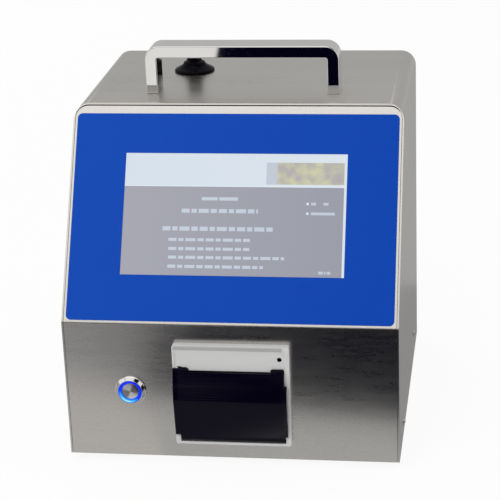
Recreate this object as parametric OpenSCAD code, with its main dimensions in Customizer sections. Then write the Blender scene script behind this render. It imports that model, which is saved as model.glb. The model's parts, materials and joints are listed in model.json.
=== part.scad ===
// Airborne particle counter: a sloped-front steel case with a seven-inch
// display, a clamshell thermal printer, a lit push button, a carrying handle
// and a sampling inlet, with the air path and the electronics inside.
// Millimetres. +Z is up, the front faces -Y, and the feet stand on Z = 0.
// Most modules draw in the case's own frame, where y = 0 is the upright front
// face and z = 0 is the bottom edge of the steel; in_case() places them.

/* [Case] */
// Width across the side walls
case_w = 230; // [226:1:240]
// Depth from the upright front face to the back
case_d = 226; // [222:1:236]
// Height of the steel case
case_h = 231; // [228:1:240]
// Height of the fold between the upright and the sloping front
fold_z = 99; // [96:1:104]
// How far back the slope reaches at the top
slope_y = 82; // [76:1:88]
// Outer radius of the cover's two bends
bend_r = 11; // [9:0.5:13]
// Thickness of the steel sheet
sheet_t = 1.2; // [1:0.1:1.5]
// Open seam between the front panel and the top of the cover
seam_t = 0.8; // [0.5:0.05:1.2]
// Gap between the front panel and the sides of the cover
panel_gap = 0.25; // [0.15:0.05:0.4]
// Corner radius of the front panel
panel_corner = 8.5; // [7:0.5:9]

/* [Feet and handle] */
// Height of the rubber feet
foot_h = 6; // [4:0.5:8]
// Radius of a foot at its top
foot_r = 9; // [7:0.5:11]
// Distance between the centres of the handle's legs
handle_pitch = 128.3; // [120:0.1:136]
// Height of the handle above the case
handle_h = 34; // [30:1:42]
// Thickness of the handle's bar
bar_t = 8.4; // [6:0.1:10]
// Width of the handle's bar
bar_w = 20; // [14:1:24]
// Distance from the upright front face to the handle's front
handle_y = 105; // [100:1:112]

/* [Display] */
// Width of the blue front film
film_w = 224; // [216:0.5:226]
// Height of the blue front film
film_h = 145.6; // [140:0.1:148]
// Distance from the fold up to the film
film_rise = 2; // [1.5:0.1:4]
// Width of the display window
window_w = 153.4; // [150:0.1:156]
// Height of the display window
window_h = 85.4; // [84:0.1:88]
// Middle of the window above the fold
window_v = 76.7; // [74:0.1:80]

/* [Printer] */
// Width of the printer bezel
bezel_w = 80; // [78:0.5:82]
// Height of the printer bezel
bezel_h = 73.7; // [73:0.1:76]
// How far the bezel stands out of the front
bezel_d = 5; // [4.6:0.1:6]
// Radius of the platen roller
platen_r = 4.8; // [4:0.1:5]
// Radius of the paper roll
roll_r = 19; // [14:0.5:20]

/* [Button] */
// Radius of the push button's head
button_r = 10.8; // [10.5:0.1:12]
// Travel of the push button
button_travel = 2; // [1:0.1:2.4]

/* [Hidden] */
$fn = 64;

// Colours
steel = [0.74, 0.73, 0.71];
bright_steel = [0.85, 0.85, 0.86];
blue = [0.07, 0.29, 0.68];
white_abs = [0.86, 0.86, 0.84];
black = [0.05, 0.05, 0.06];
smoke = [0.09, 0.08, 0.1];
board_green = [0.08, 0.32, 0.18];
brass = [0.78, 0.62, 0.3];
grey = [0.45, 0.46, 0.48];

// The slope: its angle from the vertical and its length along the sheet
slope_a = atan2(slope_y, case_h - fold_z);
slope_len = norm([slope_y, case_h - fold_z]);
front_y = -case_d / 2;
panel_w = case_w - 2 * sheet_t - 2 * panel_gap;
inner_w = case_w - 2 * sheet_t;
tray_gap = 0.15;
// Outer radii of the front panel's fold and of the cover's front edge, and their centres
fold_r = 3;
fold_mid = [fold_r, fold_z - fold_r * tan(slope_a / 2)];
nose_r = 2;
nose_mid = [slope_y + nose_r * tan(45 - slope_a / 2), case_h - nose_r];
// The front panel ends one seam below the cover's top sheet
seat_top = slope_len - sheet_t / cos(slope_a);
panel_top = seat_top - seam_t;
return_w = 9;
rebate_t = sheet_t + 0.3;
// Side screws: distance from the front and height, the rear ones higher
side_screw_spots = [[39, 12.5], [172, 22.5]];
// Screw heads and shanks
m3_r = 1.5;
m3_head_r = 2.8;
m3_head_h = 1.8;
flange_w = 12;
rear_screw_spots = [for (x = [-1, 1], z = [34, 112, 190]) [x * (inner_w / 2 - flange_w / 2), z]];
foot_spots = [for (x = [-82, 82], y = [30, 192]) [x, y]];
foot_r_low = foot_r - 1.6;
// Handle
bar_edge = 0.4;
bar_bend = 1.2 + bar_t / 2;
handle_mid_y = handle_y + bar_w / 2;
handle_thread_r = 2.5;
// Sampling inlet
inlet_x = -44.4;
inlet_y = 168;
inlet_flange_r = 14.7;
inlet_neck_r = 5.4;
inlet_bore_r = 3.5;
inlet_thread_r = 7.5;
nozzle_r = 4.5;
tube_r = 6.5;
inlet_top = 22;
// Display, as distances along the slope and depths behind the film
film_t = 0.5;
film_corner = 3.5;
window_x = 0.7;
glass_t = 1.4;
lcd_t = 5.7;
lcd_w = 165;
lcd_h = 100;
stud_spots = [for (x = [-89, 89], v = [30, 122]) [x + window_x, v]];
stud_len = 14;
bracket_depth = sheet_t + glass_t + lcd_t;
// Printer: middle of the bezel, its rims and its openings
printer_x = 1.55;
bezel_z0 = 12.3;
bezel_z1 = bezel_z0 + bezel_h;
bezel_left = printer_x - bezel_w / 2;
bezel_right = printer_x + bezel_w / 2;
door_x0 = bezel_left + 0.15;
door_x1 = bezel_right - 2.05;
aperture_x0 = bezel_left + 3.35;
aperture_x1 = bezel_right - 3.65;
aperture_z0 = bezel_z0 + 1.7;
// Lower edges of the label band: at the left corner, beside the slot and over it
band_z = 70.2;
step_z = 69;
lip_z = 67.4;
band_depth = 0.9;
lamp_r = 1.65;
lamp_x = 34.8;
lamp_z = 76.6;
case_x0 = bezel_left + 2;
case_x1 = bezel_right - 2;
case_z0 = bezel_z0 + 1.85;
case_z1 = bezel_z1 - 1.85;
printer_deep = 56;
bay_x0 = -28.6;
bay_x1 = 29.9;
bay_z0 = case_z0 + 2;
bay_z1 = 66;
slot_x0 = -27.5;
slot_x1 = 28.5;
// Door: its pivot, its outer curve and its hinge pin
pivot_y = -3.2;
pivot_z = 17.6;
barrel_r = 3.1;
pin_r = 1.25;
door_gap = 0.4;
door_t = 1.6;
crease_y = -10;
crease_z = 46.8;
curve_r = 57.5;
door_top = 69.8;
ear_z = 19.9;
ear_y = -bezel_d - 0.25;
// Platen and gear train
platen_y = 0.2;
platen_z = 61.4;
shaft_r = 1.5;
running = 0.05;
gear_m = 0.8;
platen_teeth = 12;
drive_teeth = 20;
gear_x0 = 33.2;
gear_x1 = 36.4;
drive_y = platen_y + gear_m * (platen_teeth + drive_teeth) / 2 + 0.12;
// Push button
button_x = -69.5;
button_z = 49.4;
barrel_thread_r = 9.4;
ring_r = 8.15;
cap_r = 5.95;
head_h = 3.3;
ring_h = 3.7;
cap_h = 2.1;
// Equipment shelf and what stands on it or under it
shelf_z = 92;
shelf_x = 104;
shelf_y0 = 84;
shelf_y1 = 212;
shelf_t = 1.5;
sensor_x0 = -84;
sensor_x1 = -14;
sensor_y0 = 128;
sensor_y1 = 206;
sensor_z0 = shelf_z + shelf_t;
sensor_h = 44;
suction_y = 146;
suction_z = sensor_z0 + 16;
suction_x = 4;
suction_bend = 12;
pump_y0 = 78;
pump_y1 = 162;
pump_z = 40;
pump_r = 24;
// Rear fittings
exhaust_z = pump_z;
fan_x = 52;
fan_z = 152;
fan_w = 60;
fan_t = 15;
fan_y = case_d - sheet_t - fan_t;
blade_count = 7;
mains_x = 66;
mains_z = 34;
serial_x = -62;
serial_z = 62;

// ---------------------------------------------------------------- helpers

// Places the case's own frame in the part's frame
module in_case() translate([0, front_y, foot_h]) children();

// Local frame of the slope: x across, y into the case, z up along the sheet
module on_slope() in_case() translate([0, 0, fold_z]) rotate([-slope_a, 0, 0]) children();

// Extrudes a side-view outline (y, z) across x0 to x1
module across(x0, x1) translate([x0, 0, 0]) rotate([90, 0, 90]) linear_extrude(x1 - x0) children();

// Extrudes a front-view outline (x, z) rearwards from y0 to y1
module rearwards(y0, y1) translate([0, y1, 0]) rotate([90, 0, 0]) linear_extrude(y1 - y0) children();

// A box from one corner to the other
module block(a, b) translate(a) cube(b - a);

// A rod along y, x or z from a starting point
module rod_y(p, r, len) translate(p) rotate([-90, 0, 0]) cylinder(r = r, h = len);
module rod_x(p, r, len) translate(p) rotate([0, 90, 0]) cylinder(r = r, h = len);
module rod_z(p, r, len) translate(p) cylinder(r = r, h = len);

// A centred rectangle with true round corners
module round_rect(w, h, r) {
    square([w - 2 * r, h], center = true);
    square([w, h - 2 * r], center = true);
    for (sx = [-1, 1], sy = [-1, 1])
        translate([sx * (w / 2 - r), sy * (h / 2 - r)]) circle(r);
}

// Points of an arc in a plane
function arc(cx, cy, r, a0, a1, n) = [for (i = [0:n]) let (a = a0 + (a1 - a0) * i / n) [cx + r * cos(a), cy + r * sin(a)]];

// A pan-head screw whose shank runs along +z from the head's seat at z = 0
module pan_screw(r, head_r, head_h, len) {
    rod_z([0, 0, 0], r, len);
    difference() {
        rotate_extrude() {
            translate([0, -head_h * 0.45]) square([head_r, head_h * 0.45]);
            intersection() {
                translate([0, -head_h]) square([head_r, head_h]);
                translate([0, head_r * 1.1 - head_h]) circle(head_r * 1.1);
            }
        }
        for (a = [0, 90]) rotate([0, 0, a]) translate([-head_r * 0.55, -0.3, -head_h - 1]) cube([head_r * 1.1, 0.6, 2]);
    }
}

// A straight spur gear outline: trapezoid teeth on a root circle
module gear_outline(teeth, m, bore) {
    rp = teeth * m / 2;
    root = rp - 1.2 * m;
    tip = rp + 0.85 * m;
    half = 90 / teeth;
    difference() {
        union() {
            circle(root);
            for (i = [0:teeth - 1]) rotate(i * 360 / teeth)
                polygon([[root * 0.9, -half_w(root, half * 1.18)], [root, -half_w(root, half * 1.18)],
                    [rp, -half_w(rp, half * 0.86)], [tip, -half_w(tip, half * 0.42)],
                    [tip, half_w(tip, half * 0.42)], [rp, half_w(rp, half * 0.86)],
                    [root, half_w(root, half * 1.18)], [root * 0.9, half_w(root, half * 1.18)]]);
        }
        circle(bore);
    }
}
function half_w(r, a) = r * sin(a);

// ------------------------------------------------------------------- case

// Front-view outline of the wrap, set in from its outer face
module wrap_outline(inset) {
    w = case_w - 2 * inset;
    r = bend_r - inset;
    top = case_h - inset;
    translate([-w / 2, -1]) square([w, top - r + 1]);
    translate([-w / 2 + r, 0]) square([w - 2 * r, top]);
    for (s = [-1, 1]) translate([s * (w / 2 - r), top - r]) circle(r);
}

// Outline on the slope, from below the fold to a top with round corners
module slope_outline(w, top, r) {
    translate([-w / 2, -2]) square([w, top - r + 2]);
    translate([-w / 2 + r, 0]) square([w - 2 * r, top]);
    for (s = [-1, 1]) translate([s * (w / 2 - r), top - r]) circle(r);
}

// Side view of the cover: upright front, fold, slope and rounded top edge
module cover_profile() polygon(concat([[0, 0], [case_d, 0], [case_d, case_h]],
    arc(nose_mid[0], nose_mid[1], nose_r, 90, 180 - slope_a, 8),
    arc(fold_mid[0], fold_mid[1], fold_r, 180 - slope_a, 180, 6)));

// Inverted U of sheet: top and both sides, with return flanges at the back
module case_cover() {
    color(steel) in_case() difference() {
        union() {
            intersection() {
                rearwards(0, case_d) difference() {
                    wrap_outline(0);
                    wrap_outline(sheet_t);
                }
                across(-case_w, case_w) cover_profile();
            }
            for (s = [-1, 1]) translate([s * (inner_w / 2 - flange_w / 2 + 0.2), case_d - 1.5 * sheet_t - 0.1, case_h / 2])
                cube([flange_w + 0.4, sheet_t, case_h - 52], center = true);
        }
        // The front panel's seat
        translate([0, 0, fold_z]) rotate([-slope_a, 0, 0])
            rearwards(-4, rebate_t) difference() {
                slope_outline(inner_w, seat_top, panel_corner + 0.3);
                translate([-case_w / 2, -5]) square([case_w, 5.5]);
            }
        for (s = [-1, 1], p = side_screw_spots) rod_x([s * case_w / 2 - 3, p[0], p[1]], m3_r + 0.25, 6);
        for (s = [-1, 1]) rod_z([s * handle_pitch / 2, handle_mid_y, case_h - 4], handle_thread_r + 0.3, 6);
        rod_z([inlet_x, inlet_y, case_h - 4], inlet_thread_r + 0.2, 6);
        for (p = rear_screw_spots) rod_y([p[0], case_d - 6, p[1]], m3_r + 0.05, 8);
    }
}

// Side view of the front sheet: upright part, fold and slope
module front_section(v_end) {
    top = [v_end * sin(slope_a), fold_z + v_end * cos(slope_a)];
    inward = sheet_t * [cos(slope_a), -sin(slope_a)];
    polygon(concat([[0, 0]], arc(fold_mid[0], fold_mid[1], fold_r, 180, 180 - slope_a, 6), [top, top + inward],
        arc(fold_mid[0], fold_mid[1], fold_r - sheet_t, 180 - slope_a, 180, 6), [[sheet_t, 0]]));
}

// Side returns behind the front sheet, which stiffen it
module front_return_section() {
    v0 = 6;
    v1 = panel_top - panel_corner - 3;
    a = [v0 * sin(slope_a), fold_z + v0 * cos(slope_a)];
    b = [v1 * sin(slope_a), fold_z + v1 * cos(slope_a)];
    into = [cos(slope_a), -sin(slope_a)];
    polygon([[sheet_t / 2, 30], [sheet_t / 2, fold_z - 5], [return_w, fold_z - 5], [return_w, 36], [return_w - 6, 30]]);
    polygon([a + into * sheet_t / 2, b + into * sheet_t / 2, b + into * return_w, a + into * return_w]);
}

// One bent sheet: upright lower front and sloping display panel
module front_panel() {
    color(bright_steel) {
        difference() {
            union() {
                in_case() across(-panel_w / 2, panel_w / 2) front_section(panel_top);
                for (s = [-1, 1]) in_case() across(s * (panel_w / 2 - sheet_t / 2) - sheet_t / 2,
                    s * (panel_w / 2 - sheet_t / 2) + sheet_t / 2) front_return_section();
                on_slope() for (p = stud_spots) rod_y([p[0], sheet_t - 0.2, p[1]], m3_r, stud_len);
            }
            // Rounded top corners
            on_slope() for (s = [-1, 1]) rearwards(-1, sheet_t + 1) difference() {
                translate([s > 0 ? panel_w / 2 - panel_corner : -panel_w / 2 - 1, panel_top - panel_corner])
                    square([panel_corner + 1, panel_corner + 1]);
                translate([s * (panel_w / 2 - panel_corner), panel_top - panel_corner]) circle(panel_corner);
            }
            // Window, printer cut-out and button hole
            on_slope() block([window_x - window_w / 2 - 1, -1, window_v - window_h / 2 - 1],
                [window_x + window_w / 2 + 1, sheet_t + 1, window_v + window_h / 2 + 1]);
            in_case() block([case_x0 - 0.3, -1, case_z0 - 0.3], [case_x1 + 0.3, sheet_t + 1, case_z1 + 0.3]);
            in_case() rod_y([button_x, -1, button_z], barrel_thread_r + 0.15, sheet_t + 2);
        }
    }
}

// Floor of the case with four upturned flanges
module base_tray() {
    y0 = sheet_t + tray_gap;
    y1 = case_d - sheet_t - tray_gap;
    w = inner_w - 2 * tray_gap;
    color(steel) in_case() difference() {
        union() {
            block([-w / 2, y0, 0], [w / 2, y1, sheet_t]);
            block([-w / 2, y0, 0], [w / 2, y0 + sheet_t, 11]);
            block([-w / 2 + 14, y1 - sheet_t, 0], [w / 2 - 14, y1, 14]);
            for (s = [-1, 1]) block([s > 0 ? w / 2 - sheet_t : -w / 2, 12, 0], [s > 0 ? w / 2 : -w / 2 + sheet_t, y1 - 8, 26]);
        }
        for (s = [-1, 1], p = side_screw_spots) rod_x([s * (w / 2 - sheet_t / 2) - 2, p[0], p[1]], m3_r + 0.05, 4);
        for (p = foot_spots) rod_z([p[0], p[1], -1], 2.05, 4);
        // Air slots under the power supply and the pump
        for (x = [-30:12:66], y = [60]) translate([x, y, -1]) linear_extrude(4) {
            square([3, 22]);
            translate([1.5, 0]) circle(1.5);
            translate([1.5, 22]) circle(1.5);
        }
    }
}

// Slots of the fan guard: chords of a circle, parted by a middle bar
module fan_slots(y0, y1) {
    for (i = [-4:4], s = [-1, 1]) {
        dz = i * 6;
        half = sqrt(pow(27.5, 2) - dz * dz);
        rearwards(y0, y1) translate([fan_x, fan_z + dz]) {
            translate([s > 0 ? 3.5 : -half + 1.6, -1.6]) square([half - 5.1, 3.2]);
            for (e = [3.5, half - 1.6]) translate([s * e, 0]) circle(1.6);
        }
    }
}

// Flat back, seated on the cover's return flanges
module rear_panel() {
    color(steel) in_case() difference() {
        intersection() {
            rearwards(case_d - sheet_t, case_d) wrap_outline(sheet_t + panel_gap);
            block([-case_w, 0, tray_gap], [case_w, case_d + 1, case_h]);
        }
        fan_slots(case_d - 4, case_d + 1);
        for (p = rear_screw_spots) rod_y([p[0], case_d - 4, p[1]], m3_r + 0.2, 6);
        for (x = [-1, 1], z = [-1, 1]) rod_y([fan_x + x * 25, case_d - 4, fan_z + z * 25], m3_r + 0.2, 6);
        rod_y([0, case_d - 4, exhaust_z], 6.2, 6);
        block([mains_x - 13.8, case_d - 4, mains_z - 10], [mains_x + 13.8, case_d + 1, mains_z + 10]);
        for (s = [-1, 1]) rod_y([mains_x + s * 20, case_d - 4, mains_z], m3_r + 0.2, 6);
        block([serial_x - 10, case_d - 4, serial_z - 5.6], [serial_x + 10, case_d + 1, serial_z + 5.6]);
        for (s = [-1, 1]) rod_y([serial_x + s * 12.5, case_d - 4, serial_z], m3_r + 0.2, 6);
    }
}

module rear_screws() {
    color(bright_steel) in_case() for (p = rear_screw_spots)
        translate([p[0], case_d, p[1]]) rotate([90, 0, 0]) pan_screw(m3_r, m3_head_r, m3_head_h, 7);
}

module side_screws() {
    color(bright_steel) in_case() for (s = [-1, 1], p = side_screw_spots)
        translate([s * case_w / 2, p[0], p[1]]) rotate([0, -s * 90, 0]) pan_screw(m3_r, m3_head_r, m3_head_h, 7);
}

// Four tapered rubber feet with a recessed screw seat
module rubber_feet() {
    color(black) in_case() for (p = foot_spots) translate([p[0], p[1], -foot_h]) difference() {
        cylinder(r1 = foot_r_low, r2 = foot_r, h = foot_h);
        translate([0, 0, -1]) cylinder(r = 4.2, h = 3.6);
        translate([0, 0, -1]) cylinder(r = 2.05, h = foot_h + 2);
    }
}

module foot_screws() {
    color(bright_steel) in_case() for (p = foot_spots)
        translate([p[0], p[1], -foot_h + 2.6]) pan_screw(2, 3.7, 2.2, foot_h - 2.7 + sheet_t);
}

// ------------------------------------------------------- handle and inlet

// Section of the handle's bar
module bar_section() round_rect(bar_t, bar_w, bar_edge);

// Rectangular bar bent to a U, with a thread in each leg
module handle() {
    x = handle_pitch / 2;
    z = handle_h - bar_t / 2 - bar_bend;
    color(bright_steel) in_case() translate([0, handle_mid_y, case_h]) difference() {
        union() {
            for (s = [-1, 1]) {
                translate([s * x, 0, 0]) linear_extrude(z) bar_section();
                translate([s * (x - bar_bend), 0, z]) rotate([90, 0, 0]) rotate([0, 0, s > 0 ? 0 : 90])
                    rotate_extrude(angle = 90) translate([bar_bend, 0]) bar_section();
            }
            translate([-x + bar_bend, 0, z + bar_bend]) rotate([0, 90, 0]) linear_extrude(2 * (x - bar_bend))
                bar_section();
        }
        for (s = [-1, 1]) rod_z([s * x, 0, -1], handle_thread_r + 0.03, 15);
    }
}

module handle_screws() {
    color(bright_steel) in_case() for (s = [-1, 1])
        translate([s * handle_pitch / 2, handle_mid_y, case_h - sheet_t]) pan_screw(handle_thread_r, 4.6, 3, 13);
}

// Turned inlet: conical flange, neck, thread and hose nozzle on one axis
module sampling_inlet() {
    color(black) in_case() translate([inlet_x, inlet_y, case_h]) rotate_extrude() polygon([
        [inlet_bore_r, -30], [nozzle_r - 0.4, -30], [nozzle_r, -28.5], [nozzle_r, -16], [inlet_thread_r, -16],
        [inlet_thread_r, 0], [inlet_flange_r - 0.4, 0], [inlet_flange_r, 0.4], [inlet_flange_r, 1.1],
        [inlet_flange_r - 0.5, 1.6], [inlet_neck_r + 2.6, 5.6], [inlet_neck_r + 2.6, 6.4], [inlet_neck_r + 0.8, 7.6],
        [inlet_neck_r, 7.6], [inlet_neck_r, inlet_top - 0.8], [inlet_neck_r - 0.8, inlet_top], [inlet_bore_r, inlet_top]]);
}

module inlet_seal() {
    color(black) in_case() translate([inlet_x, inlet_y, case_h - sheet_t - 1]) difference() {
        cylinder(r = 13, h = 1);
        translate([0, 0, -1]) cylinder(r = inlet_thread_r + 0.02, h = 3);
    }
}

module inlet_nut() {
    color(brass) in_case() translate([inlet_x, inlet_y, case_h - sheet_t - 6]) difference() {
        cylinder(r = 12.7, h = 5, $fn = 6);
        translate([0, 0, -1]) cylinder(r = inlet_thread_r + 0.02, h = 7);
    }
}

// ---------------------------------------------------------------- display

// Blue printed film with an open display window
module front_film() {
    color(blue) on_slope() rearwards(-film_t, 0) difference() {
        translate([0, film_rise + film_h / 2]) round_rect(film_w, film_h, film_corner);
        translate([window_x, window_v]) square([window_w, window_h], center = true);
    }
}

module touch_panel() {
    color([0.5, 0.55, 0.6, 0.5]) on_slope() translate([window_x, sheet_t + glass_t / 2, window_v])
        cube([lcd_w, glass_t, lcd_h], center = true);
}

// Display module: metal frame round the panel, driver ledge below
module lcd_module() {
    y0 = sheet_t + glass_t;
    color([0.2, 0.22, 0.25]) on_slope() translate([window_x, y0 + lcd_t / 2, window_v]) {
        cube([lcd_w, lcd_t, lcd_h], center = true);
        translate([0, lcd_t / 2 + 0.4, -lcd_h / 2 + 22]) cube([120, 0.8, 14], center = true);
    }
}

// Sheet frame that clamps the display on four studs
module display_bracket() {
    color(steel) on_slope() difference() {
        union() {
            rearwards(bracket_depth, bracket_depth + 1.5) difference() {
                translate([window_x, window_v]) square([170, 104], center = true);
                translate([window_x, window_v]) square([146, 78], center = true);
            }
            for (p = stud_spots) rearwards(bracket_depth, bracket_depth + 1.5)
                translate([p[0] + (p[0] > window_x ? -4 : 4), p[1]]) square([20, 12], center = true);
        }
        for (p = stud_spots) rod_y([p[0], bracket_depth - 1, p[1]], m3_r + 0.2, 4);
    }
}

module display_nuts() {
    color(bright_steel) on_slope() for (p = stud_spots) translate([p[0], bracket_depth + 1.5, p[1]])
        rotate([-90, 0, 0]) difference() {
            cylinder(r = 3.17, h = 2.4, $fn = 6);
            translate([0, 0, -1]) cylinder(r = m3_r + 0.02, h = 5);
        }
}

// Display controller board with its processor, memory and connectors
module display_board() {
    y0 = bracket_depth + 1.5;
    color(board_green) on_slope() {
        translate([window_x, 0, window_v]) {
            difference() {
                block([-72, y0 + 3, -38], [72, y0 + 4.6, 38]);
                for (s = [-1, 1], t = [-1, 1]) rod_y([s * 68, y0 + 2, t * 34], 1.6, 4);
            }
            for (s = [-1, 1], t = [-1, 1]) rod_y([s * 60, y0, t * 30], 2.5, 3.2);
            block([-10, y0 + 4.6, -8], [8, y0 + 6.4, 10]);
            block([20, y0 + 4.6, 2], [34, y0 + 5.8, 12]);
            block([-60, y0 + 4.6, -34], [-30, y0 + 10, -28]);
            block([30, y0 + 4.6, -34], [52, y0 + 12, -26]);
        }
    }
}

// ---------------------------------------------------------------- printer

// White moulded bezel: stepped rim, sunk label band, tear lip and pin seats
module printer_bezel() {
    mid_z = (bezel_z0 + bezel_z1) / 2;
    color(white_abs) in_case() difference() {
        union() {
            difference() {
                rearwards(-bezel_d, 0) translate([printer_x, mid_z]) round_rect(bezel_w, bezel_h, 1.6);
                // Door opening
                block([aperture_x0, -bezel_d - 1, aperture_z0], [aperture_x1, 1, band_z]);
                // Sunk band with a slanting top
                across(bezel_left + 1.3, bezel_right - 2.9)
                    polygon([[-bezel_d - 1, band_z - 1], [-bezel_d + band_depth, band_z - 1],
                        [-bezel_d + band_depth, bezel_z1 - 5], [-bezel_d, bezel_z1 - 1.5], [-bezel_d - 1, bezel_z1 - 1.5]]);
            }
            // Tear lip over the paper slot, with its stepped ends
            block([slot_x0, -bezel_d + band_depth, lip_z], [slot_x1, 0, band_z + 0.5]);
            block([slot_x0 - 5, -bezel_d + band_depth, step_z], [aperture_x1 + 0.1, 0, band_z + 0.5]);
        }
        rod_x([bezel_left + 0.8, pivot_y, pivot_z], pin_r, bezel_w - 1.6);
        // Lamp hole and a shallow square mark
        rod_y([lamp_x, -bezel_d, lamp_z], lamp_r, bezel_d + 1);
        block([-35.2, -bezel_d, 74.2], [-30.4, -bezel_d + band_depth + 0.15, 79]);
    }
}

module printer_lamp() {
    color(black) in_case() difference() {
        rod_y([lamp_x, -bezel_d + band_depth + 0.3, lamp_z], lamp_r - 0.02, 6);
        rod_y([lamp_x, 1, lamp_z], 0.4, 2);
    }
}

// Printer body behind the panel: paper bay, side pockets and head shelf
module printer_case() {
    color(grey) in_case() difference() {
        union() {
            block([case_x0, 0, case_z0], [case_x1, printer_deep, case_z1]);
            for (s = [-1, 1]) translate([printer_x + s * (case_x1 - case_x0) / 2, sheet_t + 7, 40])
                rotate([0, 0, s > 0 ? 0 : 180]) across(0, 0.01 + 1.2) polygon([[-5.5, -6], [5, -6], [5, 6], [-5.5, 6]]);
        }
        // Relief behind the hinge barrel
        block([-35.2, -1, case_z0 - 1], [38, 0.5, 22]);
        // Paper bay, open to the front
        block([bay_x0, -1, bay_z0], [bay_x1, printer_deep - 2, bay_z1]);
        block([bay_x0, -1, bay_z1 - 2], [bay_x1, platen_y + platen_r + 0.2, bay_z1 + 1.2]);
        // Pockets for the door's cheeks and the gear train
        block([-35.2, -1, 50], [bay_x0 + 1, 8, 68]);
        block([bay_x1 - 1, -1, 50], [37.2, 8, 68]);
        block([gear_x0 - 0.8, 0, 49], [37.2, 28, 73]);
        // Electronics bay behind the label band
        block([case_x0 + 2, -1, bay_z1 + 4.4], [gear_x0 - 3, printer_deep - 2, case_z1 - 2]);
        block([gear_x0 - 4, -1, 74.6], [case_x1 - 2, printer_deep - 2, case_z1 - 2]);
        // Passage for the motor's shaft
        rod_x([gear_x1 - 1, drive_y, platen_z], shaft_r + 0.5, 8);
    }
}

// Thermal line head on its heat sink, hung from the bay's ceiling
module print_head() {
    y0 = platen_y + platen_r + 0.3;
    color([0.6, 0.6, 0.62]) in_case() {
        block([-26.5, y0, 56], [27.8, y0 + 1, bay_z1 - 0.2]);
        block([-28, y0 + 1, 54.5], [29.2, y0 + 3.4, bay_z1]);
        for (x = [-22:6:26]) block([x, y0 + 3.4, 56], [x + 1.2, y0 + 6, bay_z1]);
    }
}

// Roll of thermal paper on its core, resting in the bay
module paper_roll() {
    color([0.93, 0.93, 0.9]) in_case() translate([-27.9, 31, bay_z0 + roll_r]) rotate([0, 90, 0]) difference() {
        cylinder(r = roll_r, h = 57);
        translate([0, 0, -1]) cylinder(r = 6, h = 59);
        for (z = [-0.2, 56.8]) translate([0, 0, z]) difference() {
            cylinder(r = 14, h = 0.4);
            cylinder(r = 13.4, h = 0.4);
        }
    }
}

// Stepper motor beside the printer, driving the gear through the wall
module printer_motor() {
    x0 = case_x1 + 0.1;
    color(grey) in_case() difference() {
        union() {
            rod_x([x0, drive_y, platen_z], 7.5, 12);
            rod_x([x0 + 12, drive_y, platen_z], 3, 1.5);
            translate([x0 + 0.6, drive_y, platen_z]) cube([1.2, 22, 7], center = true);
        }
        rod_x([x0 - 1, drive_y, platen_z], shaft_r + running, 12);
    }
}

module drive_gear() {
    color(white_abs) in_case() translate([gear_x0, drive_y, platen_z]) rotate([90, 0, 90])
        linear_extrude(gear_x1 - gear_x0) rotate(180 / drive_teeth) gear_outline(drive_teeth, gear_m, shaft_r);
}

module motor_shaft() {
    color(bright_steel) in_case() rod_x([gear_x0 - 0.2, drive_y, platen_z], shaft_r, case_x1 + 8 - gear_x0);
}

// Depth of the door's outer face at a height, or of a layer behind it
function door_y(z, back) = z >= crease_z
    ? crease_y + curve_r - sqrt(pow(curve_r - back, 2) - pow(z - crease_z, 2))
    : crease_y + back + (crease_z - z) * (pivot_y - barrel_r - crease_y) / (crease_z - pivot_z);

// Points of that face between two heights
function door_points(z0, z1, back) = let (zc = max(z0, crease_z)) concat(z0 < zc ? [[door_y(z0, back), z0]] : [],
    [for (i = [0:14]) let (z = zc + (z1 - zc) * i / 14) [door_y(z, back), z]]);
function reversed(p) = [for (i = [len(p) - 1:-1:0]) p[i]];

// Smoked door: bulging shell with ears over the rims, hinge barrel, cheeks
module printer_door() {
    x0 = aperture_x0 + door_gap;
    x1 = aperture_x1 - door_gap;
    color(smoke) in_case() difference() {
        union() {
            // Shell and barrel between the bezel's rims
            across(x0, x1) polygon(concat(reversed(door_points(crease_z, door_top, 0)),
                arc(pivot_y, pivot_z, barrel_r, 180, 484, 30),
                [[door_y(pivot_z + 3.6, door_t), pivot_z + 3.6]], door_points(crease_z, door_top, door_t)));
            // Ears in front of the rims
            for (x = [door_x0, x1 - 0.4]) across(x, x + (x < 0 ? x0 - door_x0 : door_x1 - x1) + 0.4)
                polygon(concat(door_points(ear_z, door_top - 0.4, 0), [[ear_y, door_top - 0.4], [ear_y, ear_z]]));
            // Cheeks that carry the platen
            for (x = [-32.6, 30.4]) across(x, x + 2.4) {
                polygon(concat(door_points(platen_z - 5, platen_z + 5, 0.8),
                    [[platen_y, platen_z + 3.6], [platen_y, platen_z - 3.6]]));
                translate([platen_y, platen_z]) circle(3.6);
            }
        }
        rod_x([x0 - 1, pivot_y, pivot_z], pin_r + running, x1 - x0 + 2);
        rod_x([-34, platen_y, platen_z], shaft_r + running, 70);
        // Notch in the upper right ear, and the paper gap along the top
        block([door_x1 - 1.5, -20, 57.6], [door_x1 + 1, ear_y + 1, 80]);
        block([slot_x0 - 1, -20, lip_z - 0.6], [slot_x1 + 1, 5, 80]);
        block([slot_x0 - 6, -bezel_d + band_depth - 0.5, step_z - 0.4], [aperture_x1 + 1, 5, 80]);
    }
}

module door_pin() {
    color(bright_steel) in_case() rod_x([bezel_left + 0.8, pivot_y, pivot_z], pin_r, bezel_w - 1.6);
}

// Rubber sleeve of the platen
module platen_roller() {
    color(black) in_case() difference() {
        rod_x([-28, platen_y, platen_z], platen_r, 57.2);
        rod_x([-30, platen_y, platen_z], shaft_r, 62);
    }
}

module platen_shaft() {
    color(bright_steel) in_case() rod_x([-34.2, platen_y, platen_z], shaft_r, gear_x1 + 34.2);
}

module platen_gear() {
    color(white_abs) in_case() translate([gear_x0, platen_y, platen_z]) rotate([90, 0, 90])
        linear_extrude(gear_x1 - gear_x0) gear_outline(platen_teeth, gear_m, shaft_r);
}

// ------------------------------------------------------------ push button

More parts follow.
